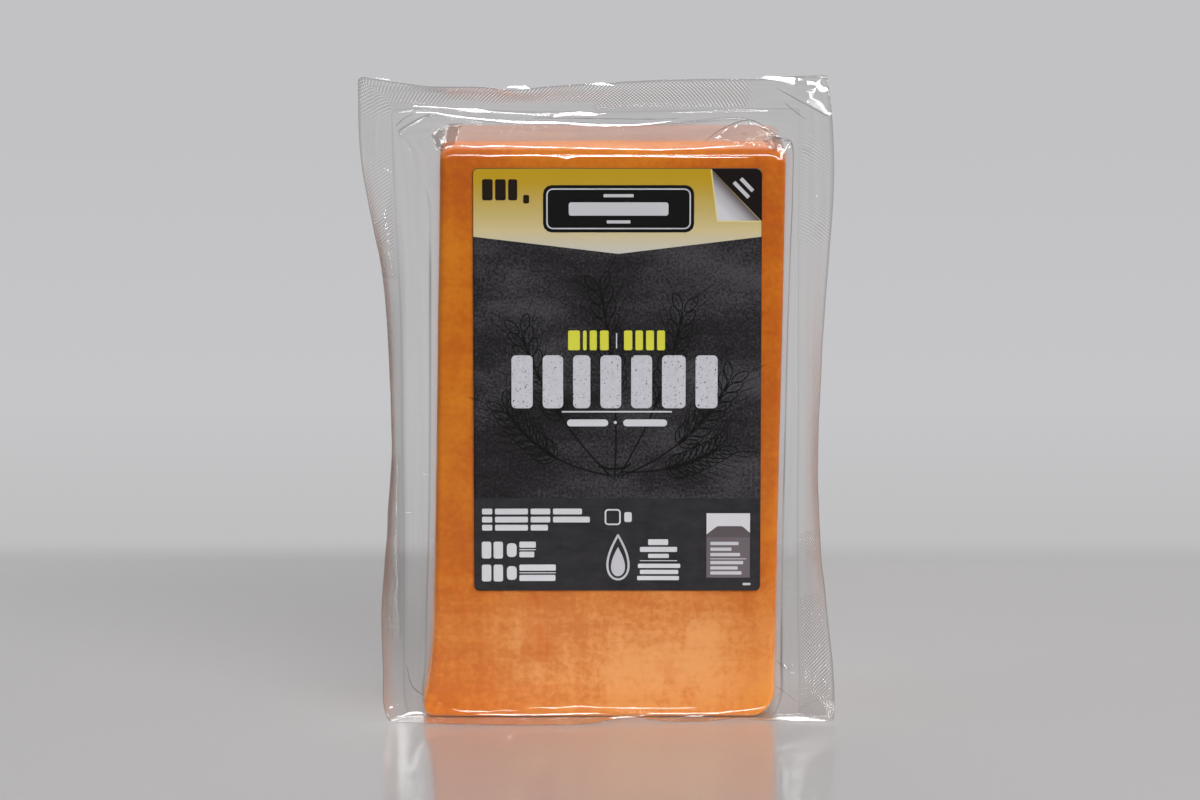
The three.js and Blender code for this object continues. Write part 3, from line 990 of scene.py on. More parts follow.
places, ways = knurlPlaces()
sealKnurl = makeMesh("sealKnurl", places, [], [])
layer = sealKnurl.data.attributes.new("facing", "FLOAT_VECTOR", "POINT")
layer.data.foreach_set("vector", ways.astype(np.float32).ravel())
tree, sizes = knurlTree(filmMaterial("knurlFilm", 0.3))
press = sealKnurl.modifiers.new("knurl", "NODES")
press.node_group = tree
for key, socket in sizes.items():
    press[socket.identifier] = knurl[key] / 1000
bpy.context.view_layer.update()
pressed = bpy.data.meshes.new_from_object(sealKnurl.evaluated_get(bpy.context.evaluated_depsgraph_get()))
sealKnurl.modifiers.clear()
sealKnurl.data = pressed
print("seal pressed,", len(places), "bumps")

# fine folds of the film: narrow flanks that stand up and catch the light, and darker ones that lie flat
folds = {
    "facing": (0.09, -0.90, 0.49),
    "turnDown": 0.0006,  # how much less a flank faces up, each mm higher
    "arch": 9.0,  # degrees that a flank bends across its width
    "ridgeArch": 75.0,
    "clear": 0.03,  # how far it stands off the film
    "step": 0.45,
    "bright": [  # width, then its way as x, z
        [0.3, (-49.1, 157.6), (-43.0, 157.3), (-37.4, 156.8)],
        [0.85, (-38.2, 156.9), (-34.4, 156.6), (-31.4, 156.4), (-28.6, 156.0)],
        [0.18, (-28.8, 156.1), (-21.7, 155.6), (-13.6, 155.2)],
        [1.15, (-13.9, 154.9), (-10.1, 155.5), (-6.1, 155.7), (-1.5, 155.3)],
        [0.64, (-48.1, 156.0), (-44.0, 155.9), (-39.5, 155.1), (-31.1, 154.2), (-22.5, 153.5), (-12.4, 153.3),
         (-1.5, 152.7), (8.6, 152.8), (17.5, 153.8)],
        [0.34, (-37.6, 148.3), (-35.3, 148.1), (-32.6, 147.8), (-29.3, 148.0), (-24.7, 148.0), (-18.4, 147.8),
         (-10.3, 147.7)],
        [0.3, (-11.5, 147.7), (-1.5, 147.5), (6.1, 147.3), (12.6, 147.2), (23.0, 147.5), (29.6, 147.9),
         (35.4, 148.2)],
        [0.34, (-31.8, 145.7), (-18.4, 145.9), (-12.4, 145.7), (-9.6, 145.4), (-6.5, 145.7), (-1.5, 145.7),
         (11.1, 145.7), (21.2, 145.5), (36.6, 145.4)],
        [0.75, (-11.3, 145.5), (-9.6, 145.4), (-7.8, 145.6)],
        [0.6, (-62.5, 161.3), (-62.0, 163.0), (-60.6, 164.7)],
        [0.3, (-61.2, 160.5), (-60.8, 162.5)],
        [0.55, (-58.1, 165.0), (-55.0, 164.8), (-51.7, 164.5)],
        [0.7, (-24.9, 163.2), (-22.4, 163.1), (-20.7, 162.9), (-18.4, 162.5)],
        [1.1, (-22.2, 163.0), (-20.2, 162.9), (-18.9, 162.6)],
        [0.8, (-4.5, 163.5), (-2.3, 163.7), (0.0, 163.6), (2.5, 163.0)],
        [2.5, (39.6, 165.3), (43.4, 164.7), (46.5, 164.1), (49.1, 163.6), (52.2, 162.8), (54.7, 161.8),
         (57.0, 160.7)],
        [0.35, (40.4, 165.2), (43.4, 163.7), (46.5, 161.8)],
        [0.9, (45.0, 146.8), (46.2, 147.5), (47.6, 148.3)],
        [0.3, (-41.3, 3.6), (-38.8, 2.1), (-35.9, 1.5), (-32.3, 1.1), (-27.2, 1.0), (-19.5, 0.95), (-9.2, 1.2),
         (1.1, 1.3), (11.3, 1.3), (21.6, 1.3),
         (30.6, 1.5), (35.8, 1.9), (40.1, 2.6), (41.9, 3.4), (43.0, 4.7)],
        [0.22, (-37.5, 1.8), (-31.1, 1.6), (-25.9, 1.9), (-22.1, 1.6)],
        [0.22, (-20.0, 2.3), (-16.9, 2.7), (-12.8, 2.5), (-7.9, 3.0), (-0.2, 2.6), (8.8, 2.5), (16.5, 2.4),
         (24.2, 2.7)],
        [0.4, (20.0, 0.7), (22.9, 0.7), (25.7, 0.8)],
        [0.7, (-54.9, 2.7), (-55.0, 4.0), (-54.7, 4.9)],
        [0.9, (-51.3, 1.4), (-49.3, 1.6), (-46.7, 1.4)],
        [0.35, (-53.8, 1.3), (-52.3, 1.1), (-50.5, 1.5)],
        [0.5, (-44.7, 3.8), (-43.6, 2.5), (-43.1, 1.9)],
        [0.4, (-44.2, 4.3), (-43.8, 2.9)],
        [1.2, (49.1, 1.7), (50.9, 3.2), (52.9, 4.5), (55.4, 5.6), (57.5, 7.0)],
        [0.8, (49.1, 7.2), (49.4, 5.7)],
        [0.6, (44.2, 6.3), (45.0, 4.8)],
        [0.3, (43.7, 15.1), (45.5, 13.6), (46.3, 12.9), (48.1, 13.6), (49.1, 12.8)],
        [0.5, (-43.9, 150.0), (-43.2, 149.1)],
        [0.45, (-43.7, 147.7), (-42.7, 147.3), (-41.8, 147.9)],
        [0.55, (-44.3, 144.7), (-43.0, 146.3)],
        [0.5, (-44.3, 143.3), (-43.4, 144.2)],
        [0.45, (-44.2, 141.2), (-43.3, 142.4)],
        [0.26, (-47.9, 154.2), (-46.0, 152.3), (-44.0, 150.3)],
        [0.26, (-46.8, 154.5), (-44.5, 152.0), (-41.7, 148.8)],
        [0.35, (-25.8, 7.2), (-24.9, 5.2), (-23.1, 2.5)],
        [0.3, (-24.4, 7.8), (-23.3, 5.2), (-22.2, 2.8)],
        [0.4, (-43.2, 5.5), (-41.1, 3.4), (-38.5, 1.4)],
        [0.4, (-39.5, 6.2), (-38.5, 3.6), (-37.7, 1.7)],
    ],
    "dark": [
        [0.34, (-53.4, 152.2), (-51.1, 154.4), (-48.3, 155.8)],
        [0.24, (-18.5, 154.5), (-4.0, 154.4), (8.6, 154.2), (18.8, 154.3)],
        [0.34, (43.2, 162.3), (49.9, 158.4), (56.6, 155.0)],
        [0.26, (45.1, 158.5), (48.1, 156.0), (51.1, 153.8)],
        [0.34, (25.0, 149.0), (28.9, 151.7), (33.9, 153.6), (36.5, 154.0), (39.8, 152.7)],
        [0.26, (43.7, 14.6), (45.5, 13.1), (46.3, 12.4), (48.1, 13.1)],
        [0.26, (43.5, 8.1), (46.3, 6.3), (49.1, 4.1)],
        [0.3, (-51.2, 13.5), (-49.6, 8.0), (-46.6, 5.6)],
    ],
    # where the gathered film lies folded on itself: the corners of a patch, clockwise
    "patches": [
        [(-44.2, 150.4), (-42.4, 152.3), (-40.3, 152.2), (-41.2, 146.6), (-43.0, 147.8)],
        [(-40.0, 153.2), (-36.3, 153.3), (-38.3, 148.4), (-40.8, 147.0)],
        [(39.4, 149.2), (41.6, 150.4), (43.9, 149.9), (45.4, 147.0), (42.2, 147.1)],
    ],
    "patchGrid": 0.6,
    "patchLift": 0.12,
    "domes": [[(27.6, 150.0), (31.0, 152.6), (36.5, 153.6), (40.4, 152.2), (42.9, 150.3), (39.1, 148.2),
         (33.5, 148.4)]],
}


def filmSide(rows, across, depth, sign, least):
    # the film seen from one side: its points by how far across and up they are
    points = rows.reshape(-1, 3)
    points = points[points[:, depth] * sign > least]
    tree = KDTree(len(points))
    for k, point in enumerate(points):
        tree.insert((point[across], 0.0, point[2]), k)
    tree.balance()
    return points, tree, across, depth, sign


filmSides = {
    "front": filmSide(lid, 0, 1, -1, -100),
    "back": filmSide(pocket, 0, 1, 1, 10),
    "right": filmSide(pocket, 1, 0, 1, 35),
    "left": filmSide(pocket, 1, 0, -1, 35),
}


def onFilm(a, z, side="front"):
    # the point of the film that lies foremost at a, z
    points, tree, across, depth, sign = filmSides[side]
    hits = tree.find_n((a, 0.0, z), 5)
    close = [(points[k][depth] * sign, 1 / (far + 0.05)) for _, k, far in hits if far < hits[0][2] + 0.35]
    front = max(level for level, _ in close)
    kept = [(level, share) for level, share in close if level > front - 0.5]
    spot = [0.0, 0.0, z]
    spot[across] = a
    spot[depth] = sign * sum(level * share for level, share in kept) / sum(share for _, share in kept)
    return spot


def foldStrip(way, width, facingWay, side="front", arch=None):
    # a narrow arched strip along a line, thinning to its ends
    length = sum(math.dist(a, b) for a, b in zip(way, way[1:]))
    count = max(6, round(length / folds["step"]))
    flat = smoothLine([(x, 0.0, z) for x, z in way], count)
    depth, sign = filmSides[side][3:]
    line = np.array([onFilm(x, z, side) for x, _, z in flat])
    line[:, depth] = np.convolve(np.pad(line[:, depth], 2, mode="edge"), np.ones(5) / 5, mode="valid")
    n = np.array(facingWay, float)
    n[2] -= folds["turnDown"] * line[:, 2].mean()
    n /= np.linalg.norm(n)
    across = unit(np.cross(np.gradient(line, axis=0), n))
    t = np.linspace(0, 1, count)
    swell = 0.8 + 0.35 * ripple(line, 2.2, 71)
    half = (width / 2) * swell * (0.1 + 0.9 * np.sin(math.pi * t) ** (0.35 if length > 8 else 0.7))
    line[:, depth] += sign * (folds["clear"] + half * abs(n[2]))
    bow = math.tan(math.radians((arch or folds["arch"]) / 2))
    rows = [line + across * (u * half)[:, None] - n * (bow * u * u * half / 2)[:, None] for u in np.linspace(-1, 1, 5)]
    starts = [i * count + j for i in range(4) for j in range(count - 1)]
    faces = [(k, k + 1, k + count + 1, k + count) for k in starts]
    points = np.vstack(rows)
    a, b, c = points[faces[0][0]], points[faces[0][1]], points[faces[0][2]]
    if np.dot(np.cross(b - a, c - b), n) < 0:
        faces = [face[::-1] for face in faces]
    return points, faces


def foldPiece(name, strips, material):
    allPoints, allFaces, start = [], [], 0
    for points, faces in strips:
        allPoints.append(points)
        allFaces += [tuple(start + k for k in face) for face in faces]
        start += len(points)
    return makeMesh(name, np.vstack(allPoints), allFaces, [material])


def foldMaterial(name, tint, straight):
    # a flank of clear film, seen through and mirroring
    material, nodes, links, shader = newMaterial(name)
    nodes.remove(shader)
    clear = addNode(nodes, "ShaderNodeBsdfTransparent", Color=(*tint, 1.0))
    shine = addNode(nodes, "ShaderNodeBsdfGlossy", Color=(1, 1, 1, 1), Roughness=0.06)
    dents = addNode(nodes, "ShaderNodeTexNoise", Scale=900.0, Detail=2.0)
    place = addNode(nodes, "ShaderNodeTexCoord")
    bump = bumpNode(nodes, links, dents.outputs["Fac"], 0.12, 0.0002)
    links.new(place.outputs["Object"], dents.inputs["Vector"])
    links.new(bump.outputs["Normal"], shine.inputs["Normal"])
    mirrorMix(nodes, links, clear, shine, straight)
    return material


brightFolds = foldPiece(
    "brightFolds", [foldStrip(way, width, folds["facing"]) for width, *way in folds["bright"]],
    foldMaterial("brightFold", (0.98, 0.975, 0.97), 0.05))
darkFolds = foldPiece(
    "darkFolds", [foldStrip(way, width, (0, -1, 0.05)) for width, *way in folds["dark"]],
    foldMaterial("darkFold", (0.62, 0.56, 0.52), 0.03))

# ridges of film over the back and the sides: fans at the corners, broken runs along the edges, a few across
ridgeDice = np.random.default_rng(29)
ridgeFaces = {  # across from, to, up from, to, the way they face, how many in each fan and across
    "back": (-41.0, 41.0, 3.0, 144.0, (0, 0.9, 0.49), 6, 9),
    "right": (-9.0, 16.5, 3.5, 143.0, (0.9, 0, 0.49), 4, 4),
    "left": (-9.0, 16.5, 3.5, 143.0, (-0.9, 0, 0.49), 4, 4),
}


def ridgeLines(side):
    low, high, foot, top, way, fan, loose = ridgeFaces[side]
    lines = []
    for a, inA in ((low, 1), (high, -1)):
        for b, inB in ((foot, 1), (top, -1)):
            for _ in range(fan):
                turn = math.radians(ridgeDice.uniform(15, 75))
                near, length = ridgeDice.uniform(1.0, 5.0), ridgeDice.uniform(4.0, 13.0)
                bend = ridgeDice.uniform(-0.8, 0.8)
                spots = [near, near + length * 0.5, near + length]
                line = [(a + inA * s * math.cos(turn), b + inB * s * math.sin(turn)) for s in spots]
                line[1] = (line[1][0] + bend, line[1][1] + bend)
                lines.append((ridgeDice.uniform(0.5, 1.0), line))
        b = foot + 8
        while b < top - 12:
            run = ridgeDice.uniform(8, 30)
            inset = a + inA * ridgeDice.uniform(-0.6, 0.8)
            line = [(inset, b), (inset + inA * 0.3, b + run / 2), (inset, min(b + run, top))]
            lines.append((ridgeDice.uniform(0.3, 0.55), line))
            b += run + ridgeDice.uniform(4, 16)
    for b, inB in ((foot, 1), (top, -1)):
        a = low + 4
        while a < high - 8:
            run = ridgeDice.uniform(5, 22)
            inset = b + inB * ridgeDice.uniform(-1.0, 1.2)
            line = [(a, inset), (a + run / 2, inset - inB * 0.4), (min(a + run, high), inset)]
            lines.append((ridgeDice.uniform(0.35, 0.7), line))
            a += run + ridgeDice.uniform(2, 9)
    for _ in range(loose):
        a, b = ridgeDice.uniform(low + 4, high - 4), ridgeDice.uniform(foot + 6, top - 6)
        turn, run = math.radians(ridgeDice.uniform(-60, 60)), ridgeDice.uniform(5, 16)
        ends = [(a + s * run * math.cos(turn), b + s * run * math.sin(turn)) for s in (-0.5, 0.08, 0.5)]
        lines.append((ridgeDice.uniform(0.3, 0.5), [(min(max(p, low), high), min(max(q, foot), top)) for p, q in ends]))
    return [foldStrip(line, width, way, side, folds["ridgeArch"]) for width, line in lines]


clingFolds = foldPiece(
    "clingFolds", [strip for side in ridgeFaces for strip in ridgeLines(side)],
    foldMaterial("clingFold", (0.97, 0.965, 0.955), 0.07))
print("folds made")

# the printed label: fields of colour and plain shapes, each a thin layer of ink on one sheet

label = {
    "left": -33.65,
    "right": 39.45,
    "bottom": 33.5,
    "top": 142.7,
    "corner": 1.3,
    "lift": 0.34,
    "thickness": 0.18,
    "layer": 0.025,
    "grid": 1.6,
    "inset": 0.12,
    "veil": 0.006,  # gloss of the sheet and the room in it
    "light": 0.87,  # how much of white the studio's light gives back
    "goldTip": (3.1, 120.8),
    "goldEnds": 125.2,
    "infoTop": 57.6,
}


def frontSurface(x, z):
    # the y of the film over the bar's front face, without its curd
    points = settle(np.stack([x, np.full_like(x, frontY), z], axis=-1))
    return frontY - flange["clingGap"] - broadRelief(points)


def roundedLoop(left, bottom, right, top, radius, steps=6):
    loop = []
    corners = [(right - radius, top - radius, 0), (left + radius, top - radius, 90)]
    corners += [(left + radius, bottom + radius, 180), (right - radius, bottom + radius, 270)]
    for x, z, begin in corners:
        for angle in np.linspace(begin, begin + 90, steps + 1):
            turn = math.radians(angle)
            loop.append((x + radius * math.cos(turn), z + radius * math.sin(turn)))
    return loop


def splitLine(line, closed, step=label["grid"]):
    # the same line with no stretch longer than `step`
    p = np.array(line, float)
    if closed:
        p = np.vstack([p, p[:1]])
    parts = []
    for a, b in zip(p, p[1:]):
        steps = max(1, math.ceil(math.dist(a, b) / step))
        parts.append(a + (b - a) * np.linspace(0, 1, steps, endpoint=False)[:, None])
    return np.vstack(parts if closed else parts + [p[-1:]])


def isInside(points, loop, margin):
    # which points lie inside a closed loop and off its edge
    a, b = loop, np.roll(loop, -1, axis=0)
    x, z = points[:, :1], points[:, 1:]
    crosses = (a[:, 1] > z) != (b[:, 1] > z)
    rise = np.where(np.abs(b[:, 1] - a[:, 1]) < 1e-9, 1e-9, b[:, 1] - a[:, 1])
    hits = crosses & (x < (b[:, 0] - a[:, 0]) * (z - a[:, 1]) / rise + a[:, 0])
    near = np.min(np.hypot(x - a[:, 0], z - a[:, 1]), axis=1)
    return (hits.sum(axis=1) % 2 == 1) & (near > margin)


def area(loop, step=label["grid"]):
    # the inside of a loop, with a grid of points so that it follows the bar's relief
    loop = splitLine(loop, True, step)
    low, high = loop.min(axis=0), loop.max(axis=0)
    xs, zs = np.arange(low[0] + step / 2, high[0], step), np.arange(low[1] + step / 2, high[1], step)
    grid = np.stack(np.meshgrid(xs, zs), axis=-1).reshape(-1, 2)
    if len(grid):
        grid = grid[isInside(grid, loop, step * 0.45)]
    points = [Vector(point) for point in np.vstack([loop, grid])]
    verts, _, faces = delaunay_2d_cdt(points, [], [list(range(len(loop)))], 1, 1e-5, False)[:3]
    return np.array([tuple(v) for v in verts]), [tuple(face) for face in faces]


def block(left, bottom, right, top, radius=0.3):
    return area(roundedLoop(left, bottom, right, top, min(radius, (top - bottom) / 2.02, (right - left) / 2.02), 3))


def ribbon(line, width, closed=False, pointed=False):
    # a flat line of even width, or one that thins to nothing at its ends
    p = splitLine(line, closed)
    way = np.roll(p, -1, axis=0) - np.roll(p, 1, axis=0) if closed else np.gradient(p, axis=0)
    way /= np.linalg.norm(way, axis=1, keepdims=True)
    half = np.full(len(p), width / 2)
    if pointed:
        half = half * (0.08 + 0.92 * np.sin(np.linspace(0, math.pi, len(p))) ** 0.6)
    side = np.stack([-way[:, 1], way[:, 0]], axis=1) * half[:, None]
    n = len(p)
    faces = [(j, (j + 1) % n, (j + 1) % n + n, j + n) for j in range(n if closed else n - 1)]
    return np.vstack([p + side, p - side]), faces


def slanted(x, z, length, width, angle):
    # a plain bar turned by `angle` about its middle
    turn = math.radians(angle)
    dx, dz = math.cos(turn) * length / 2, math.sin(turn) * length / 2
    return ribbon([(x - dx, z - dz), (x + dx, z + dz)], width)


def loopArea(p):
    # twice the area of a loop, below zero when it runs clockwise
    return np.sum(p[:, 0] * np.roll(p[:, 1], -1) - np.roll(p[:, 0], -1) * p[:, 1])


def facingFront(face, flat):
    return face if loopArea(flat[list(face)]) > 0 else face[::-1]


def printField(name, shapes, material, layer=1):
    # shapes of one ink, as one sheet that follows the film over the bar
    allPoints, allFaces, start = [], [], 0
    for flat, faces in shapes:
        y = frontSurface(flat[:, 0], flat[:, 1]) - label["lift"] - label["layer"] * layer
        allPoints.append(np.stack([flat[:, 0], y, flat[:, 1]], axis=1))
        allFaces += [tuple(start + k for k in facingFront(face, flat)) for face in faces]
        start += len(flat)
    return makeMesh(name, np.vstack(allPoints), allFaces, [material], smooth=layer == 0)


def ink(red, green, blue):
    # the paint that shows as this screen colour under the studio's light
    seen = np.array(linear(red, green, blue)[:3])
    return (*np.clip((seen - label["veil"]) / label["light"], 0.0015, 0.95), 1.0)


def inkMaterial(name, dark, pale=None, spread=0.1, stretch=(1.0, 1.0, 1.0), scale=700.0, fleck=0.0):
    # flat ink, or ink mottled between two tones with small worn flecks
    material, nodes, links, shader = newMaterial(name)
    shader.inputs["Roughness"].default_value = 0.36
    shader.inputs["Specular IOR Level"].default_value = 0.16
    place = addNode(nodes, "ShaderNodeTexCoord")
    turn = addNode(nodes, "ShaderNodeMapping", Scale=stretch)
    noise = addNode(nodes, "ShaderNodeTexNoise", Scale=scale, Detail=6.0, Roughness=0.72)
    ramp = rampNode(nodes, [(0.5 - spread, dark), (0.5 + spread, pale or dark)])
    dents = addNode(nodes, "ShaderNodeTexNoise", Scale=90.0, Detail=2.0)
    bump = bumpNode(nodes, links, dents.outputs["Fac"], 0.1, 0.0002)
    links.new(place.outputs["Object"], turn.inputs["Vector"])
    links.new(turn.outputs[0], noise.inputs["Vector"])
    links.new(place.outputs["Object"], dents.inputs["Vector"])
    links.new(noise.outputs["Fac"], ramp.inputs["Fac"])
    links.new(bump.outputs["Normal"], shader.inputs["Normal"])
    links.new(ramp.outputs["Color"], shader.inputs["Base Color"])
    if fleck:
        worn = addNode(nodes, "ShaderNodeTexNoise", Scale=1500.0, Detail=2.0, Roughness=0.6)
        spots = rampNode(nodes, [(fleck, (0.16, 0.16, 0.17, 1)), (fleck + 0.04, (1, 1, 1, 1))])
        wear = addNode(nodes, "ShaderNodeMix", data_type="RGBA", blend_type="MULTIPLY")
        wear.inputs["Factor"].default_value = 1.0
        links.new(place.outputs["Object"], worn.inputs["Vector"])
        links.new(worn.outputs["Fac"], spots.inputs["Fac"])
        links.new(ramp.outputs["Color"], wear.inputs["A"])
        links.new(spots.outputs["Color"], wear.inputs["B"])
        links.new(wear.outputs["Result"], shader.inputs["Base Color"])
    return material


def plainField(name, shapes, tone, layer=2):
    # shapes in one flat ink
    return printField(name, shapes, inkMaterial(name + "Ink", ink(*tone)), layer)


def blocks(*rows):
    return [block(*row) for row in rows]


def fadeMaterial(name, start, way, reach, stops):
    # ink whose colour runs from `start` along `way` over `reach` millimetres
    material, nodes, links, shader = newMaterial(name)
    shader.inputs["Roughness"].default_value = 0.34
    shader.inputs["Specular IOR Level"].default_value = 0.2
    place = addNode(nodes, "ShaderNodeTexCoord")
    away = addNode(nodes, "ShaderNodeVectorMath", operation="SUBTRACT")
    away.inputs[1].default_value = (start[0] / 1000, 0.0, start[1] / 1000)
    along = addNode(nodes, "ShaderNodeVectorMath", operation="DOT_PRODUCT")
    size = math.hypot(*way) * reach / 1000
    along.inputs[1].default_value = (way[0] / size, 0.0, way[1] / size)
    ramp = rampNode(nodes, stops)
    links.new(place.outputs["Object"], away.inputs[0])
    links.new(away.outputs[0], along.inputs[0])
    links.new(along.outputs["Value"], ramp.inputs["Fac"])
    links.new(ramp.outputs["Color"], shader.inputs["Base Color"])
    return material


def slateMaterial():
    # dark stone ground: cloudy bands with a fine grain
    material, nodes, links, shader = newMaterial("labelSlate")
    shader.inputs["Roughness"].default_value = 0.4
    shader.inputs["Specular IOR Level"].default_value = 0.16
    place = addNode(nodes, "ShaderNodeTexCoord")
    flat = addNode(nodes, "ShaderNodeMapping", Scale=(0.45, 1.0, 1.0))
    clouds = addNode(nodes, "ShaderNodeTexNoise", Scale=62.0, Detail=5.0, Roughness=0.6)
    grain = addNode(nodes, "ShaderNodeTexNoise", Scale=1500.0, Detail=3.0, Roughness=0.7)
    blend = addNode(nodes, "ShaderNodeMix", data_type="FLOAT")
    blend.inputs[0].default_value = 0.45
    ramp = rampNode(nodes, [(0.36, ink(20, 19, 20)), (0.49, ink(38, 36, 38)), (0.6, ink(66, 64, 67))])
    dents = addNode(nodes, "ShaderNodeTexNoise", Scale=90.0, Detail=2.0)
    bump = bumpNode(nodes, links, dents.outputs["Fac"], 0.12, 0.0002)
    links.new(place.outputs["Object"], flat.inputs["Vector"])
    links.new(flat.outputs[0], clouds.inputs["Vector"])
    links.new(place.outputs["Object"], grain.inputs["Vector"])
    links.new(place.outputs["Object"], dents.inputs["Vector"])
    links.new(clouds.outputs["Fac"], blend.inputs[2])
    links.new(grain.outputs["Fac"], blend.inputs[3])
    links.new(blend.outputs[0], ramp.inputs["Fac"])
    links.new(ramp.outputs["Color"], shader.inputs["Base Color"])
    links.new(bump.outputs["Normal"], shader.inputs["Normal"])
    return material


ear = {"length": 2.5, "width": 1.15, "pairs": 9, "stem": 0.42, "line": 0.3, "awn": 0.2, "awnReach": 7.5}


def earLines(foot, head, bow):
    # one ear of grain of the motif: a bowed stem with pairs of pointed grains and fine awns
    foot, head = np.array(foot, float), np.array(head, float)
    across = np.array([head[1] - foot[1], foot[0] - head[0]]) / math.dist(foot, head)
    t = np.linspace(0, 1, 28)[:, None]
    stem = foot * (1 - t) ** 2 + ((foot + head) / 2 + across * bow) * 2 * t * (1 - t) + head * t * t
    lines = [ribbon(stem, ear["stem"])]
    ways = unit(np.gradient(stem, axis=0))
    turns = np.linspace(0, 2 * math.pi, 14, endpoint=False)
    for k in np.linspace(12, 27, ear["pairs"]):
        at = stem[int(k)]
        for side in (-1, 1):
            way = ways[int(k)]
            out = np.array([way[1], -way[0]]) * side
            lean = unit(way * 0.86 + out * 0.5)
            flat = np.array([lean[1], -lean[0]])
            centre = at + lean * ear["length"] + out * 0.5
            wide = np.sin(turns) * np.abs(np.sin(turns)) ** 0.4
            grain = centre + np.cos(turns)[:, None] * lean * ear["length"] + wide[:, None] * flat * ear["width"]
            awnTip = centre + lean * ear["awnReach"] + out * 0.8
            lines.append(ribbon(grain, ear["line"], closed=True))
            lines.append(ribbon([centre - lean * 1.6, centre + lean * 1.9], ear["awn"], pointed=True))
            lines.append(ribbon([centre + lean * 2.4, awnTip], ear["awn"], pointed=True))
    return lines


def filmPatch(corners):
    # a flat patch that lies just in front of the film
    flat, faces = area(corners, folds["patchGrid"])
    points = np.array([onFilm(x, z) for x, z in flat]) - (0, folds["patchLift"], 0)
    return points, [facingFront(face, flat) for face in faces]


foldPatches = foldPiece(
    "foldPatches", [filmPatch(corners) for corners in folds["patches"]],
    foldMaterial("foldPatch", (0.66, 0.62, 0.60), 0.05))
foldDomes = foldPiece(
    "foldDomes", [filmPatch(corners) for corners in folds["domes"]], foldMaterial("foldDome", (0.9, 0.86, 0.84), 0.09))

labelSheet = printField(
    "labelSheet",
    [area(roundedLoop(label["left"], label["bottom"], label["right"], label["top"], label["corner"]))],
    slateMaterial(), layer=0)
thicken = labelSheet.modifiers.new("thickness", "SOLIDIFY")
thicken.thickness = label["thickness"] / 1000
thicken.offset = -1
bpy.context.view_layer.update()
solid = bpy.data.meshes.new_from_object(labelSheet.evaluated_get(bpy.context.evaluated_depsgraph_get()))
labelSheet.modifiers.clear()
labelSheet.data = solid

# the gold head with its pointed foot, and the smoother panel at the bottom
inset = label["inset"]
goldLoop = roundedLoop(label["left"] + inset, 120, label["right"] - inset, label["top"] - inset, label["corner"])[:14]
goldLoop += [(label["left"] + inset, label["goldEnds"]), label["goldTip"], (label["right"] - inset, label["goldEnds"])]
goldStops = [(0.0, ink(170, 137, 26)), (0.18, ink(170, 138, 38)), (0.49, ink(177, 157, 94))]
goldStops += [(0.72, ink(190, 174, 129)), (1.0, ink(184, 181, 174))]
goldField = printField("goldField", [area(goldLoop)], fadeMaterial("labelGold", (0, 142.7), (0, -1), 21.9, goldStops))
infoLoop = [(label["right"] - inset, label["infoTop"]), (label["left"] + inset, label["infoTop"])]
low, high = label["bottom"] + inset, 50
infoLoop += roundedLoop(label["left"] + inset, low, label["right"] - inset, high, label["corner"])[14:]
panelInk = inkMaterial("labelPanel", ink(37, 36, 38), ink(50, 49, 51), 0.2, (0.5, 1, 1), 300.0)
infoPanel = printField("infoPanel", [area(infoLoop)], panelInk)

ears = [  # foot, head and bow of each stem
    [(2.2, 62.8), (-1.5, 111.5), 3.5], [(1.4, 63.2), (-21.5, 100.5), -5.5], [(3.0, 63.0), (19.5, 106.0), 4.5],
    [(0.8, 63.6), (-25.5, 80.5), -7.0], [(3.8, 63.4), (31.5, 88.0), 7.0], [(4.0, 64.5), (28.5, 70.5), 4.0],
]
motifLines = [line for places in ears for line in earLines(*places)]
motifLines.append(ribbon([(-1.6, 66.2), (0.6, 65.2), (4.6, 65.4), (6.4, 66.6)], 0.6))
darkMotif = plainField("darkMotif", motifLines, (17, 16, 18), 1)

# plain shapes where the words and the pictures are
plaque = plainField("plaque", blocks((-15.9, 126.3, 22.3, 138.4, 2.2)), (18, 14, 13))
cornerLoop = [(39.33, 129.2), (39.33, 141.4), (38.9, 142.2), (38.1, 142.58), (26.5, 142.58)]
peelCorner = plainField("peelCorner", [area(cornerLoop)], (26, 19, 17))
curlStops = [(0.0, ink(78, 72, 72)), (0.12, ink(112, 107, 109)), (0.3, ink(160, 157, 161)), (0.6, ink(188, 187, 191))]
pageCurl = printField(
    "pageCurl", [area([(39.0, 129.3), (26.6, 142.4), (28.3, 129.3)])],
    fadeMaterial("labelCurl", (26.5, 142.7), (-0.722, -0.692), 9.0, curlStops), layer=3)
cornerRim = ribbon([(26.6, 142.4), (28.15, 129.15), (39.2, 129.15)], 0.34)
creamEdge = plainField("creamEdge", [cornerRim], (204, 190, 128), 4)

whiteInk = inkMaterial("labelWhite", ink(176, 176, 182), ink(188, 188, 194), 0.15, fleck=0.33)
bigShapes, left = [], -24.4
for wide in (6.4, 6.2, 5.4, 6.3, 6.3, 7.0, 6.6):
    bigShapes.append(block(left + 0.4, 81.0, left + wide - 0.6, 94.7, 1.1))
    left += wide + 1.53
bigBlocks = printField("bigBlocks", bigShapes, whiteInk, layer=2)

limeShapes = []
for left, wides in ((-9.6, (3.3, 1.2, 2.1, 2.5)), (4.6, (2.4, 2.2, 2.3, 2.3))):
    for wide in wides:
        limeShapes.append(block(left, 96.0, left + wide - 0.3, 101.1, 0.4))
        left += wide + 0.5
limeBlocks = plainField("limeBlocks", limeShapes, (196, 194, 66))

darkShapes = blocks(
    (-31.3, 134.5, -28.6, 139.9, 0.5), (-28.0, 134.5, -25.3, 139.9, 0.5),
    (-24.7, 134.5, -22.4, 139.9, 0.5), (-20.9, 133.7, -19.4, 135.9, 0.4))
darkBlocks = plainField("darkBlocks", darkShapes, (34, 26, 18))

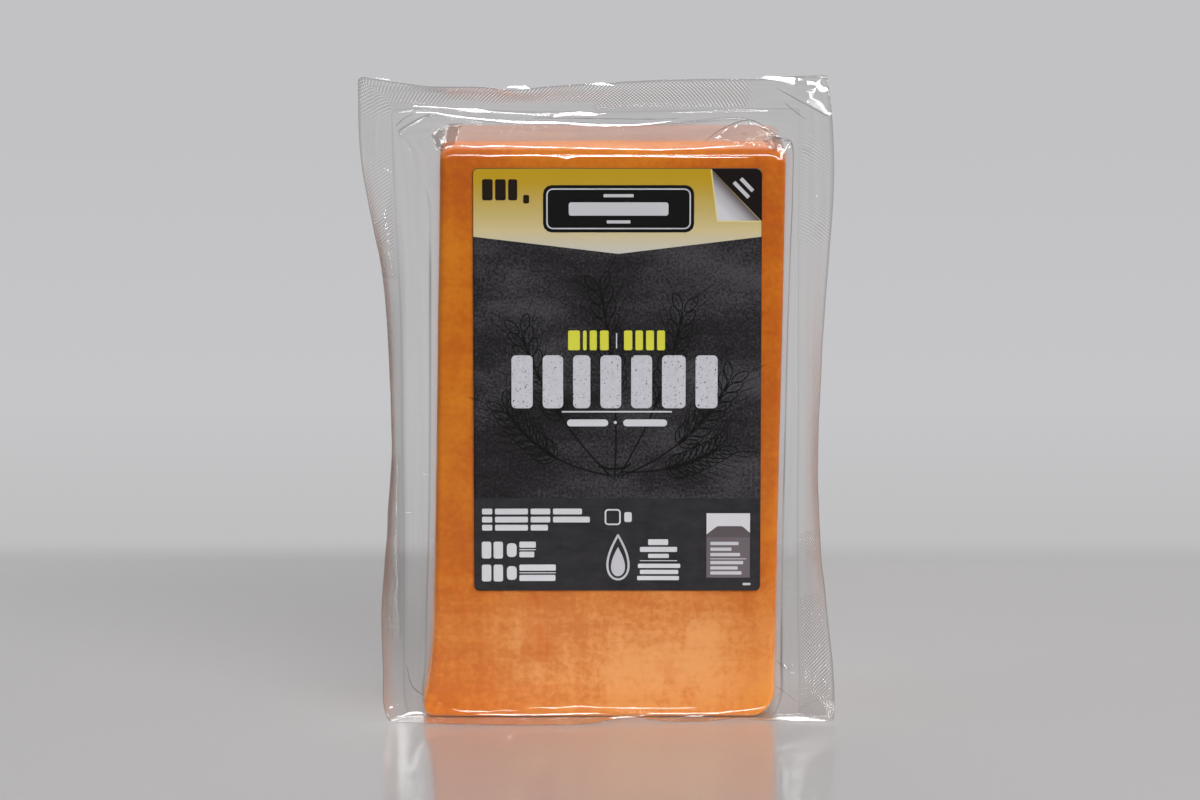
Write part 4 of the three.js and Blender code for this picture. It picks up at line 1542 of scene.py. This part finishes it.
small = [ribbon([(2.7, 96.5), (2.7, 100.4)], 0.28), ribbon([(-11.2, 80.1), (16.8, 80.1)], 0.4)]
small += [block(-9.9, 76.3, 0.6, 78.1, 0.9), block(2.0, 76.9, 2.8, 77.7, 0.4), block(4.4, 76.3, 15.6, 78.1, 0.9)]
for right, low in ((-6.1, 53.4), (-4.1, 51.3), (-14.8, 49.2)):
    left = -31.6
    for wide in (2.6, 8.4, 5.0, 9.6, 4.4):
        end = min(left + wide, right)
        if end - left > 0.8:
            small.append(block(left, low, end, low + 1.5, 0.3))
        left = end + 0.7
for low, high in ((41.9, 46.3), (35.9, 40.3)):
    small += blocks((-31.7, low, -29.3, high, 0.5), (-28.7, low, -26.3, high, 0.5))
    small.append(block(-25.3, low + 0.4, -22.8, high - 0.4, 0.9))
small += blocks((-22.1, 44.7, -17.9, 46.3, 0.3), (-22.1, 42.2, -18.3, 43.7, 0.3))
small.append(ribbon([(-22.1, 44.2), (-17.9, 44.2)], 0.25))
small += blocks((-22.1, 38.7, -12.8, 40.3, 0.3), (-22.1, 36.0, -12.9, 37.6, 0.3))
small.append(ribbon([(-22.1, 38.15), (-12.8, 38.15)], 0.25))
small += [ribbon(roundedLoop(-0.1, 50.8, 3.6, 54.6, 0.7, 3), 0.4, closed=True), block(4.7, 51.4, 6.6, 54.0, 0.5)]
small += blocks((10.8, 45.4, 15.9, 46.9, 0.25), (8.7, 43.6, 18.2, 44.9, 0.25), (10.8, 42.0, 16.1, 43.1, 0.25))
small += blocks((8.2, 39.4, 19.0, 40.5, 0.25), (8.7, 37.8, 18.5, 38.9, 0.25), (8.0, 36.2, 18.7, 37.3, 0.25))
small += [ribbon([(8.7, 41.3), (18.2, 41.3)], 0.22), block(35.0, 34.9, 37.0, 35.5, 0.2)]
smallPrint = plainField("smallPrint", small, (190, 190, 194))

# a drop with a filled foot, and a box with two plain hills
turns = np.linspace(0, 2 * math.pi, 40, endpoint=False)
dropLine = np.stack([3.1 + 3.6 * np.sin(turns) * np.sin(turns / 2) ** 1.1, 42.2 + 5.8 * np.cos(turns)], axis=1)
innerDrop = (dropLine - (3.1, 41.5)) * 0.66 + (3.1, 40.6)
dropMark = plainField("dropMark", [ribbon(dropLine, 0.55, closed=True), area(innerDrop)], (176, 175, 180))
boxTop = plainField("boxTop", [area([(36.8, 47.4), (36.8, 53.7), (25.7, 53.7), (25.7, 47.4)])], (192, 191, 195))
boxFoot = plainField("boxFoot", [area([(36.8, 36.9), (36.8, 47.4), (25.7, 47.4), (25.7, 36.9)])], (98, 90, 94))
hillLine = [(36.8, 47.4), (36.8, 48.6)]
for k in range(1, 26):
    hillLine.append((36.4 - 0.4 * k, 48.6 + 1.5 * math.sin(k / 24 * math.pi) + 0.9 * math.sin(k / 8 * math.pi)))
boxHills = plainField("boxHills", [area(hillLine + [(25.7, 48.2), (25.7, 47.4)])], (84, 77, 80), 3)
boxRows = ((45.4, 7.2), (43.9, 5.4), (42.5, 7.6), (40.4, 8.4), (39.0, 7.0), (37.7, 8.0))
boxLines = [block(26.7, low, 26.7 + wide, low + 0.85, 0.2) for low, wide in boxRows]
boxLines.append(ribbon([(26.7, 41.8), (35.9, 41.8)], 0.2))
plaqueLine = ribbon(roundedLoop(-14.9, 127.3, 21.3, 137.4, 1.5, 4), 0.34, closed=True)
boxLines.append(plaqueLine)
boxLines += blocks((-9.4, 130.6, 15.8, 134.0, 0.6), (-0.6, 135.3, 7.0, 136.1, 0.2), (0.2, 128.6, 6.2, 129.4, 0.2))
boxLines += [slanted(35.6, 138.5, 4.4, 0.95, -46.2), slanted(34.2, 137.2, 5.4, 0.95, -46.2)]
fineLines = plainField("fineLines", boxLines, (180, 179, 183), 3)
labelPieces = [labelSheet, goldField, infoPanel, darkMotif, plaque, peelCorner, pageCurl, creamEdge, bigBlocks]
labelPieces += [limeBlocks, darkBlocks, smallPrint, dropMark, boxTop, boxFoot, boxHills, fineLines]
print("label made")

# stage, camera and light

studio = {
    "wall": linear(195, 195, 197),
    "wallToneAndShade": [  # the glowing wall's tone at metres behind the object, with painted shade darkening it close behind the table
        (0.1, linear(186, 186, 187)), (0.19, linear(191, 191, 192)),
        (0.4, linear(198, 198, 200)), (1.0, linear(194, 194, 196))],
    "zenith": linear(110, 110, 112),
    "front": linear(70, 70, 72),  # the dark room behind the camera
    "table": linear(176, 173, 172),
    "tableGloss": 0.1,
    "tableReach": (0.3, 0.176),  # how far the table shows to the sides and to the back, in metres
    "tableFade": (0.93, 1.12),  # where it starts and ends to turn into the wall, in parts of that reach
    "tableSquare": 6.0,  # how square its outline is
    "tableSlant": 3.2,
    "tableRough": 0.9,
    "skyHeights": (0.30, 0.75),  # where the wall's tone ends and the zenith's starts
    "skyDepth": (-0.75, 0.0),  # from the dark room in front to the wall behind
    "tableHalf": 9000,
    "lens": 175.0,
    "pitch": 10.918,
    "cameraX": -1.5,
    "cameraDistance": 1457.0,
    "cameraZ": 364.1,
}


def tableMaterial():
    # glossy pale table that ends softly against a glowing wall, whose tone changes a little with height and carries
    # painted shade just above the table
    material, nodes, links, shader = newMaterial("table")
    shader.inputs["Base Color"].default_value = studio["table"]
    shader.inputs["Roughness"].default_value = studio["tableRough"]
    shader.inputs["Specular IOR Level"].default_value = 0.0
    shine = addNode(nodes, "ShaderNodeBsdfGlossy", Color=(1, 1, 1, 1), Roughness=studio["tableGloss"])
    weight = addNode(nodes, "ShaderNodeLayerWeight", Blend=0.5)
    slant = addNode(nodes, "ShaderNodeMath", operation="POWER")
    slant.inputs[1].default_value = studio["tableSlant"]
    top = addNode(nodes, "ShaderNodeMixShader")
    links.new(weight.outputs["Facing"], slant.inputs[0])
    links.new(slant.outputs[0], top.inputs["Fac"])
    links.new(shader.outputs[0], top.inputs[1])
    links.new(shine.outputs[0], top.inputs[2])
    calc = calculator(nodes, links)
    place = addNode(nodes, "ShaderNodeTexCoord")
    parts = addNode(nodes, "ShaderNodeSeparateXYZ")
    links.new(place.outputs["Object"], parts.inputs[0])
    # how far out the point lies, measured so that one outline is square with round corners
    shares = [calc("ABSOLUTE", calc("DIVIDE", parts.outputs[k], studio["tableReach"][k])) for k in (0, 1)]
    total = calc("ADD", *[calc("POWER", share, studio["tableSquare"]) for share in shares])
    fade = rangeNode(nodes, *studio["tableFade"])
    # painted shade: the wall's glow is darker just behind the table
    tone = rampNode(nodes, studio["wallToneAndShade"])
    wall = addNode(nodes, "ShaderNodeEmission", Strength=1.0)
    mix = addNode(nodes, "ShaderNodeMixShader")
    links.new(parts.outputs["Y"], tone.inputs["Fac"])
    links.new(tone.outputs["Color"], wall.inputs["Color"])
    links.new(calc("POWER", total, 1 / studio["tableSquare"]), fade.inputs["Value"])
    links.new(fade.outputs["Result"], mix.inputs["Fac"])
    links.new(top.outputs[0], mix.inputs[1])
    links.new(wall.outputs[0], mix.inputs[2])
    links.new(mix.outputs[0], nodes["Material Output"].inputs["Surface"])
    return material


far = studio["tableHalf"]
floorPoints = [(-far, -far, 0), (far, -far, 0), (far, far, 0), (-far, far, 0)]
table = makeMesh("table", floorPoints, [(0, 1, 2, 3)], [tableMaterial()], smooth=False)

world = bpy.data.worlds.new("studio")
bpy.context.scene.world = world
world.use_nodes = True
sky, skyLinks = world.node_tree.nodes, world.node_tree.links
direction = addNode(sky, "ShaderNodeTexCoord")
split = addNode(sky, "ShaderNodeSeparateXYZ")
height = rampNode(sky, list(zip(studio["skyHeights"], (studio["wall"], studio["zenith"]))))
depth = rangeNode(sky, *studio["skyDepth"])
room = addNode(sky, "ShaderNodeMix", data_type="RGBA")
room.inputs["A"].default_value = studio["front"]
skyLinks.new(direction.outputs["Generated"], split.inputs[0])
skyLinks.new(split.outputs["Z"], height.inputs["Fac"])
skyLinks.new(split.outputs["Y"], depth.inputs["Value"])
skyLinks.new(depth.outputs["Result"], room.inputs["Factor"])
skyLinks.new(height.outputs["Color"], room.inputs["B"])
skyLinks.new(room.outputs["Result"], sky["Background"].inputs["Color"])


def softBox(name, place, target, width, depth, watts, job="light"):
    # a lamp that the camera doesn't see; places in metres. A fill isn't mirrored, and a glint is only mirrored
    lamp = bpy.data.lights.new(name, "AREA")
    lamp.shape = "RECTANGLE"
    lamp.size, lamp.size_y = width, depth
    lamp.energy = watts
    lampObject = bpy.data.objects.new(name, lamp)
    lampObject.location = place
    lampObject.rotation_euler = (Vector(target) - Vector(place)).to_track_quat("-Z", "Y").to_euler()
    lampObject.visible_camera = False
    lampObject.visible_glossy = job != "fill"
    lampObject.visible_diffuse = job != "glint"
    bpy.context.scene.collection.objects.link(lampObject)


aim = (0, 0, 0.08)
softBox("key", (0.62, -1.3, 1.3), aim, 1.7, 0.24, 26)
softBox("frontFill", (0.9, -2.6, 1.3), aim, 2.2, 1.6, 14, "fill")
softBox("ceiling", (0.0, -0.05, 1.6), (0, -0.05, 0), 1.8, 1.9, 7.5)
softBox("backFill", (-0.8, 2.4, 1.5), aim, 2.0, 1.4, 11, "fill")
softBox("glint", (0.3, -1.32, 1.28), aim, 2.6, 0.42, 70, "glint")
softBox("backGlint", (-0.3, 1.35, 1.25), aim, 2.4, 0.45, 60, "glint")
softBox("rightGlint", (1.4, 0.1, 1.25), aim, 1.6, 0.45, 45, "glint")
softBox("leftGlint", (-1.4, 0.1, 1.25), aim, 1.6, 0.45, 45, "glint")

camera = bpy.data.cameras.new("camera")
camera.lens = studio["lens"]
camera.sensor_width = 36.0
camera.clip_start, camera.clip_end = 0.05, 60.0
cameraObject = bpy.data.objects.new("camera", camera)
cameraObject.location = (studio["cameraX"] / 1000, (frontY - studio["cameraDistance"]) / 1000, studio["cameraZ"] / 1000)
cameraObject.rotation_euler = (math.radians(90 - studio["pitch"]), 0, 0)
bpy.context.scene.collection.objects.link(cameraObject)
bpy.context.scene.camera = cameraObject
bpy.context.scene.view_settings.view_transform = "Standard"
print("stage, light and camera set")

# every piece rides on the one body, and the CAD part that it stands for is hidden

for piece in (cheeseBar, lidFilm, pocketFilm, sealKnurl, brightFolds, darkFolds, clingFolds, foldPatches, foldDomes):
    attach(piece, "root")
    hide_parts("sealed_cheddar")
for piece in labelPieces:
    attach(piece, "root")
    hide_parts("label")
